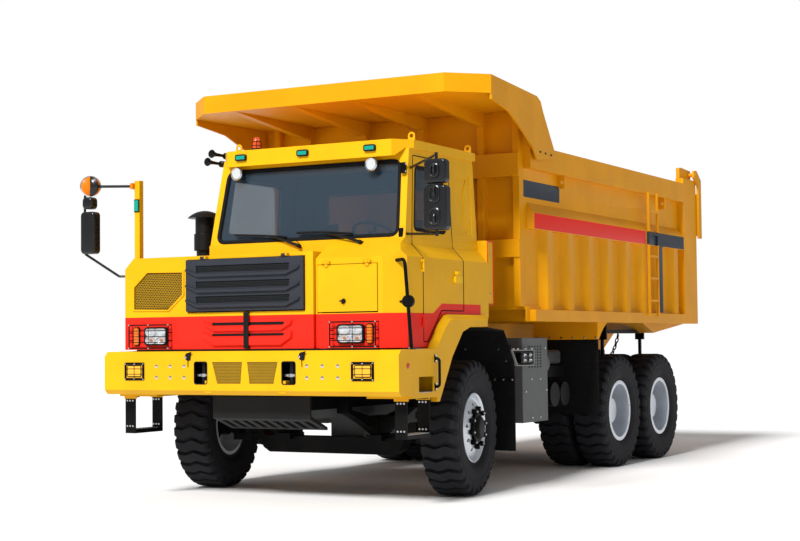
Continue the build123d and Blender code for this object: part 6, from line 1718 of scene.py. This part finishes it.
@dataclass
class Seats:
    """Two padded seats: stuffed cushion, back and headrest in a shell."""

    shop: Workshop
    xs: tuple[float, float] = (0.870, -0.150)
    voxel: float = 0.009
    pressure: float = 4.0
    frames: int = 20
    reach: float = 0.022
    lean: float = -6.5

    @staticmethod
    def points(mesh: bpy.types.Mesh) -> np.ndarray:
        """A mesh's points, a row for each."""
        flat = np.empty(len(mesh.vertices) * 3)
        mesh.vertices.foreach_get("co", flat)
        return flat.reshape(-1, 3)

    def stuffed(self, name: str, shape: Shape) -> Shape:
        """The shape remeshed and blown up by cloth pressure.

        A point's move d is shortened where it is longer than reach: p + d min(1, reach / |d|).
        """
        made = bpy.data.objects.new(name, self.shop.meshed(name, shape, 60.0))
        scene = bpy.context.scene
        scene.collection.objects.link(made)
        voxels = made.modifiers.new("voxels", "REMESH")
        voxels.mode, voxels.voxel_size = "VOXEL", self.voxel
        fine = bpy.data.meshes.new_from_object(made.evaluated_get(bpy.context.evaluated_depsgraph_get()))
        made.modifiers.clear()
        made.data = fine
        before = self.points(fine)
        after = before
        cloth = made.modifiers.new("cloth", "CLOTH")
        cloth.settings.use_pressure = True
        cloth.settings.uniform_pressure_force = self.pressure
        cloth.settings.effector_weights.gravity = 0.0
        for number in range(1, self.frames + 1):
            scene.frame_set(number)
        blown = bpy.data.meshes.new_from_object(made.evaluated_get(bpy.context.evaluated_depsgraph_get()))
        after = self.points(blown)
        scene.frame_set(1)
        faces = [list(p.vertices) for p in fine.polygons]
        bpy.data.objects.remove(made)
        move = after - before
        length = np.linalg.norm(move, axis=1, keepdims=True)
        return Shape(before + move * np.minimum(1.0, self.reach / np.maximum(length, 1e-9)), faces)

    @staticmethod
    def channelled(shape: Shape, xs: Sequence[float], depth: float, width: float) -> Shape:
        """Sewn channels: each point goes in towards the middle height by depth exp(-((x - c) / width)^2)."""
        points = shape.points.copy()
        dip = sum(np.exp(-(((points[:, 0] - x) / width) ** 2)) for x in xs)
        thin = np.argmin(np.ptp(points, axis=0))
        middle = points[:, thin].mean()
        points[:, thin] -= np.sign(points[:, thin] - middle) * depth * dip
        return Shape(points, shape.faces)

    def build(self) -> None:
        """Makes both seats."""
        p, shop, f = self.shop.palette, self.shop, FRONT_AXLE_Y
        cushion = self.stuffed("cushion", round_box((0.430, 0.380, 0.066), 0.026, 5))
        cushion = self.channelled(cushion, (-0.12, 0.12), 0.008, 0.010)
        back = self.stuffed("back", round_box((0.410, 0.066, 0.420), 0.026, 5))
        back = self.channelled(back, (-0.11, 0.11), 0.008, 0.010)
        head = self.stuffed("head", round_box((0.240, 0.056, 0.110), 0.024, 5))
        parts = [cushion.moved(y=f - 0.170, z=2.176), back.turned("X", self.lean).moved(y=f + 0.128, z=2.452),
                 head.turned("X", self.lean).moved(y=f + 0.172, z=2.780)]
        for word, x in zip(("driver", "passenger"), self.xs):
            pads = Shape.joined(parts).moved(x)
            made = shop.piece(f"{word}_seat_pads", pads, p.cloth,
                              replaces=("seats",) if word == "driver" else (), smooth=70.0)
            fine = made.modifiers.new("fine", "SUBSURF")
            fine.levels = fine.render_levels = 1
        outline = [(f - 0.360, 2.087), (f - 0.360, 2.134), (f + 0.060, 2.134), (f + 0.130, 2.300),
                   (f + 0.196, 2.680), (f + 0.212, 2.680), (f + 0.178, 2.300), (f + 0.150, 2.087)]
        shell = Wall.left(0.215).set(slab(outline, 0.430, 0.006))
        post = tube([(0.0, f + 0.160, 2.660), (0.0, f + 0.168, 2.700), (0.0, f + 0.172, 2.740)], 0.006, 8)
        shells = Shape.joined([shell, post.moved(-0.05),
                               post.moved(0.05)]).copies([(x, 0, 0) for x in self.xs])
        shop.piece("seat_shells", shells, p.plastic)


@dataclass
class Sides:
    """Small parts along the sides: exhaust box, mudguards, air filter, ejector bar and bed corners."""

    shop: Workshop
    box_x: float = 1.550
    slot_ys: tuple[float, float] = (1.599, 1.914)
    slot_zs: tuple[float, float] = (1.269, 1.493)
    box_bolts: tuple[tuple[float, float], ...] = (
        (1.657, 1.134), (1.901, 1.130), (1.502, 1.000), (2.066, 1.004), (1.670, 0.708), (1.887, 0.707),
        (2.040, 1.475))
    slope_bolts: tuple[tuple[float, float], ...] = ((1.144, -0.233), (1.533, -0.233), (1.576, -0.394))
    seam_xs: tuple[float, ...] = (1.100, 1.300, 1.440, 1.540, 1.640)

    def exhaust(self) -> None:
        """Vent slots as black pads of painted shade, bolts and the coupling bracket on the grey box."""
        p, shop, f = self.shop.palette, self.shop, FRONT_AXLE_Y
        wall = Wall.left(self.box_x)
        ys, zs = np.meshgrid(np.linspace(*self.slot_ys, 5) + f, np.linspace(*self.slot_zs, 8))
        spots = np.stack([ys.ravel(), 0 * ys.ravel(), zs.ravel()], axis=1)
        slot = pad(rect(-0.021, 0.021, -0.0085, 0.0085), 0.008, 0.0012, 0.0004)
        # Black pads where the vent slots open: painted shade.
        shop.piece("vent_slot_shade", wall.set(slot.copies(spots)), p.void)
        bolt = facing(hex_head(0.013, 0.008), "-y")
        bolts = [wall.set(bolt.copies([(f + y, 0.0, z) for y, z in self.box_bolts]))]
        x0, x1, y0, y1, z0, z1 = self.box_x + 0.002, 1.632, f + 0.985, f + 1.572, 1.288, 1.460
        end = slab([(y0, z1 - 0.008), (y0 + 0.012, z1 - 0.008), (f + 1.130, z0 + 0.004), (f + 1.117, z0)],
                   x1 - x0)
        bracket = [block((x0, x1), (y0, y1), (z1 - 0.008, z1)),
                   block((x0, x1), (f + 1.117, y1), (z0, z0 + 0.008)),
                   block((x0, x1), (y1 - 0.008, y1), (z0, z1)), Wall.left(x1).set(end)]
        shop.piece("coupling_bracket", bracket, p.bracket)
        body = block((x0, x1 - 0.012), (f + 1.240, y1 - 0.012), (1.318, 1.432), 0.006)
        shop.piece("coupling_block", body, p.plastic)
        cap = lathe([(0.0, AXIS), (0.0, 0.021), (0.012, 0.021), (0.016, 0.014), (0.030, 0.012),
                     (0.030, AXIS)], 20)
        caps = [cap.moved(x1 - 0.013, f + y, z) for y in (1.300, 1.450) for z in (1.348, 1.404)]
        nut = facing(drum(0.0, 0.020, 0.017, 16, 0.004), "+z")
        caps += [nut.moved(x1 - 0.030, f + y, z1) for y in (1.060, 1.180, 1.380, 1.545)]
        shop.piece("couplings", caps + bolts, p.steel)

    def mudguards(self) -> None:
        """Bolts and the seam strip of the flaps behind the front wheels."""
        p, shop, f = self.shop.palette, self.shop, FRONT_AXLE_Y
        slope = Wall((0.0, f + 0.700, 1.660), up=(0.0, -0.250, 0.330))
        flap = Wall.front(f + 0.960)
        bolt = facing(lathe([(0.0, AXIS), (0.0, 0.013), (0.006, 0.012), (0.009, AXIS)], 16), "-y")
        seam = flap.set(block((1.020, 1.660), (-0.008, 0.0), (1.132, 1.162)))
        shop.piece("flap_seam", seam.both(), p.plastic)
        bolts = [slope.set(bolt.copies([(x, 0.0, z) for x, z in self.slope_bolts])),
                 flap.set(bolt.copies([(x, -0.008, 1.147) for x in self.seam_xs]))]
        shop.piece("flap_bolts", Shape.joined(bolts).both(), p.steel)
        plate = Wall.front(f + 3.355)
        heads = bolt.copies([(x, 0.0, 1.590) for x in np.arange(0.90, 1.66, 0.15)])
        shop.piece("bed_flap_bolts", plate.set(heads).both(), p.steel, "bed")

    def air_filter(self) -> None:
        """Domed filter box on its shelf beside the frame."""
        p, shop, f = self.shop.palette, self.shop, FRONT_AXLE_Y
        dome = round_box((0.250, 0.420, 0.170), 0.045, 6).moved(1.175, f + 2.900, 1.362)
        shop.piece("filter_box", dome, p.filter)
        shelf = [block((0.980, 1.320), (f + 2.640, f + 3.160), (1.238, 1.262), 0.004),
                 block((1.306, 1.320), (f + 2.640, f + 3.160), (1.130, 1.240), 0.004)]
        for x in (1.020, 1.240):
            shelf.append(block((x, x + 0.030), (f + 2.680, f + 2.720), (0.945, 1.240), 0.003))
            shelf.append(block((x, x + 0.030), (f + 2.835, f + 2.865), (1.060, 1.240), 0.003))
        shop.piece("filter_shelf", shelf, p.black)

    def ejector(self) -> None:
        """Bar that carries the rock ejectors, with the chain that holds the first one."""
        p, shop, f = self.shop.palette, self.shop, FRONT_AXLE_Y
        bar = block((1.220, 1.272), (f + 4.540, f + 6.050), (1.640, 1.690), 0.004)
        shop.piece("ejector_bar", bar.both(), p.black, "bed")
        half = 0.030
        ring = smooth_path([(0, -half, 0), (0, -half, 0.017), (0, half, 0.017), (0, half, -0.017),
                            (0, -half, -0.017), (0, -half, 0)], 0.010, 4)
        link = tube(ring, 0.0080, 8)
        t = np.linspace(0.0, 1.0, 12)
        start, low, end = (np.array(v) for v in ((1.246, f + 5.160, 1.634), (1.246, f + 4.960, 1.300),
                                                 (1.246, f + 4.620, 1.300)))
        path = ((1 - t) ** 2)[:, None] * start + (2 * t * (1 - t))[:, None] * low + (t**2)[:, None] * end
        links = []
        for k, (a, b) in enumerate(zip(path[:-1], path[1:])):
            rise = math.degrees(math.atan2(b[2] - a[2], b[1] - a[1]))
            turned = link.turned("Y", 90.0 * (k % 2)).turned("X", rise)
            links.append(turned.moved(*((a + b) / 2)))
        shop.piece("ejector_chain", Shape.joined(links).both(), p.black, "bed")

    def corners(self) -> None:
        """Notches under the canopy's rail as black pads of painted shade, and the plates that close the bed's
        front corners.
        """
        p, shop, f = self.shop.palette, self.shop, FRONT_AXLE_Y
        # Black pads where the notches open: painted shade.
        notch = pad(rect(-0.026, 0.026, -0.011, 0.011), 0.005, 0.002, 0.0005)
        marks = [Wall((x, f + y, 3.635), (-0.07, 1.0, 0.0)).set(notch)
                 for x, y in ((1.736, 1.560), (1.724, 1.735), (1.711, 1.925))]
        shop.piece("canopy_notch_shade", Shape.joined(marks).both(), p.void, "bed")
        gusset = block((1.588, 1.730), (f + 1.402, f + 1.420), (3.660, 4.070), 0.003)
        shop.piece("corner_gussets", gusset.both(), p.bed, "bed")

    def build(self) -> None:
        """Makes the side parts."""
        self.exhaust()
        self.mudguards()
        self.air_filter()
        self.ejector()
        self.corners()


@dataclass
class Skins:
    """Finishes for the CAD nodes that keep their shape, with rounded edges where they show."""

    shop: Workshop

    def build(self) -> None:
        """Rounds the edges of the plate work and dresses the rest."""
        p = self.shop.palette
        soft_edged = (
            ("cab_door", p.cab, 0.005), ("hood_shell", p.cab, 0.005),
            ("front_hatch", p.cab, 0.004), ("roof_cap", p.yellow, 0.006), ("front_bumper", p.yellow, 0.006),
            ("fenders", p.yellow, 0.006), ("bed_side_left", p.bed, 0.004), ("bed_side_right", p.bed, 0.004),
            ("bed_front_wall", p.bed, 0.004), ("bed_canopy", p.bed, 0.004), ("tailgate", p.bed, 0.004),
            ("bed_floor", p.bed, 0.004), ("grille_lid", p.grille, 0.003), ("exhaust_box", p.box, 0.005),
            ("fuel_tank", p.grey, 0.003), ("radiator_guard", p.guard, 0.003), ("dashboard", p.plastic, 0.008),
            ("front_steps", p.black, 0.002), ("mirrors", p.mirror, 0.012), ("air_intake", p.plastic, 0.004),
            ("air_tanks", p.black, 0.006), ("front_mudguards", p.rubber, 0.003),
            ("bed_mudguards", p.flap, 0.003),
        )
        self.shop.softened(("cab_front", "cab_sides", "cab_rear_wall"), p.cab, 0.006, "cab_skin")
        for node, finish, width in soft_edged:
            self.shop.softened(node, finish, width)
        plain = (
            (p.black, "frame_rails front_axle_beam suspension radiator prop_shafts rear_axles handrails "
                      "rock_ejectors knuckle_left knuckle_right tie_rod hoist_barrels"),
            (p.plastic, "cab_floor steering_wheel"), (p.bed, "bed_sills"), (p.grey, "engine_and_gearbox"),
            (p.pane, "cab_glass door_glass"), (p.chrome, "hoist_rods"),
        )
        for finish, nodes in plain:
            for node in nodes.split():
                self.shop.dressed(node, finish)


def main() -> None:
    """Builds every sub-assembly in order and logs the pieces."""
    logging.basicConfig(level=logging.INFO, format="%(message)s")
    bpy.context.scene.view_settings.view_transform = "Standard"
    shop = Workshop(Palette())
    Studio().build()
    for assembly in (Skins(shop), Wheels(shop), Nose(shop), Lamps(shop), Cab(shop), Sides(shop), Seats(shop)):
        assembly.build()
    LOG.info("%d pieces", shop.count)


if __name__ == "__main__":
    main()
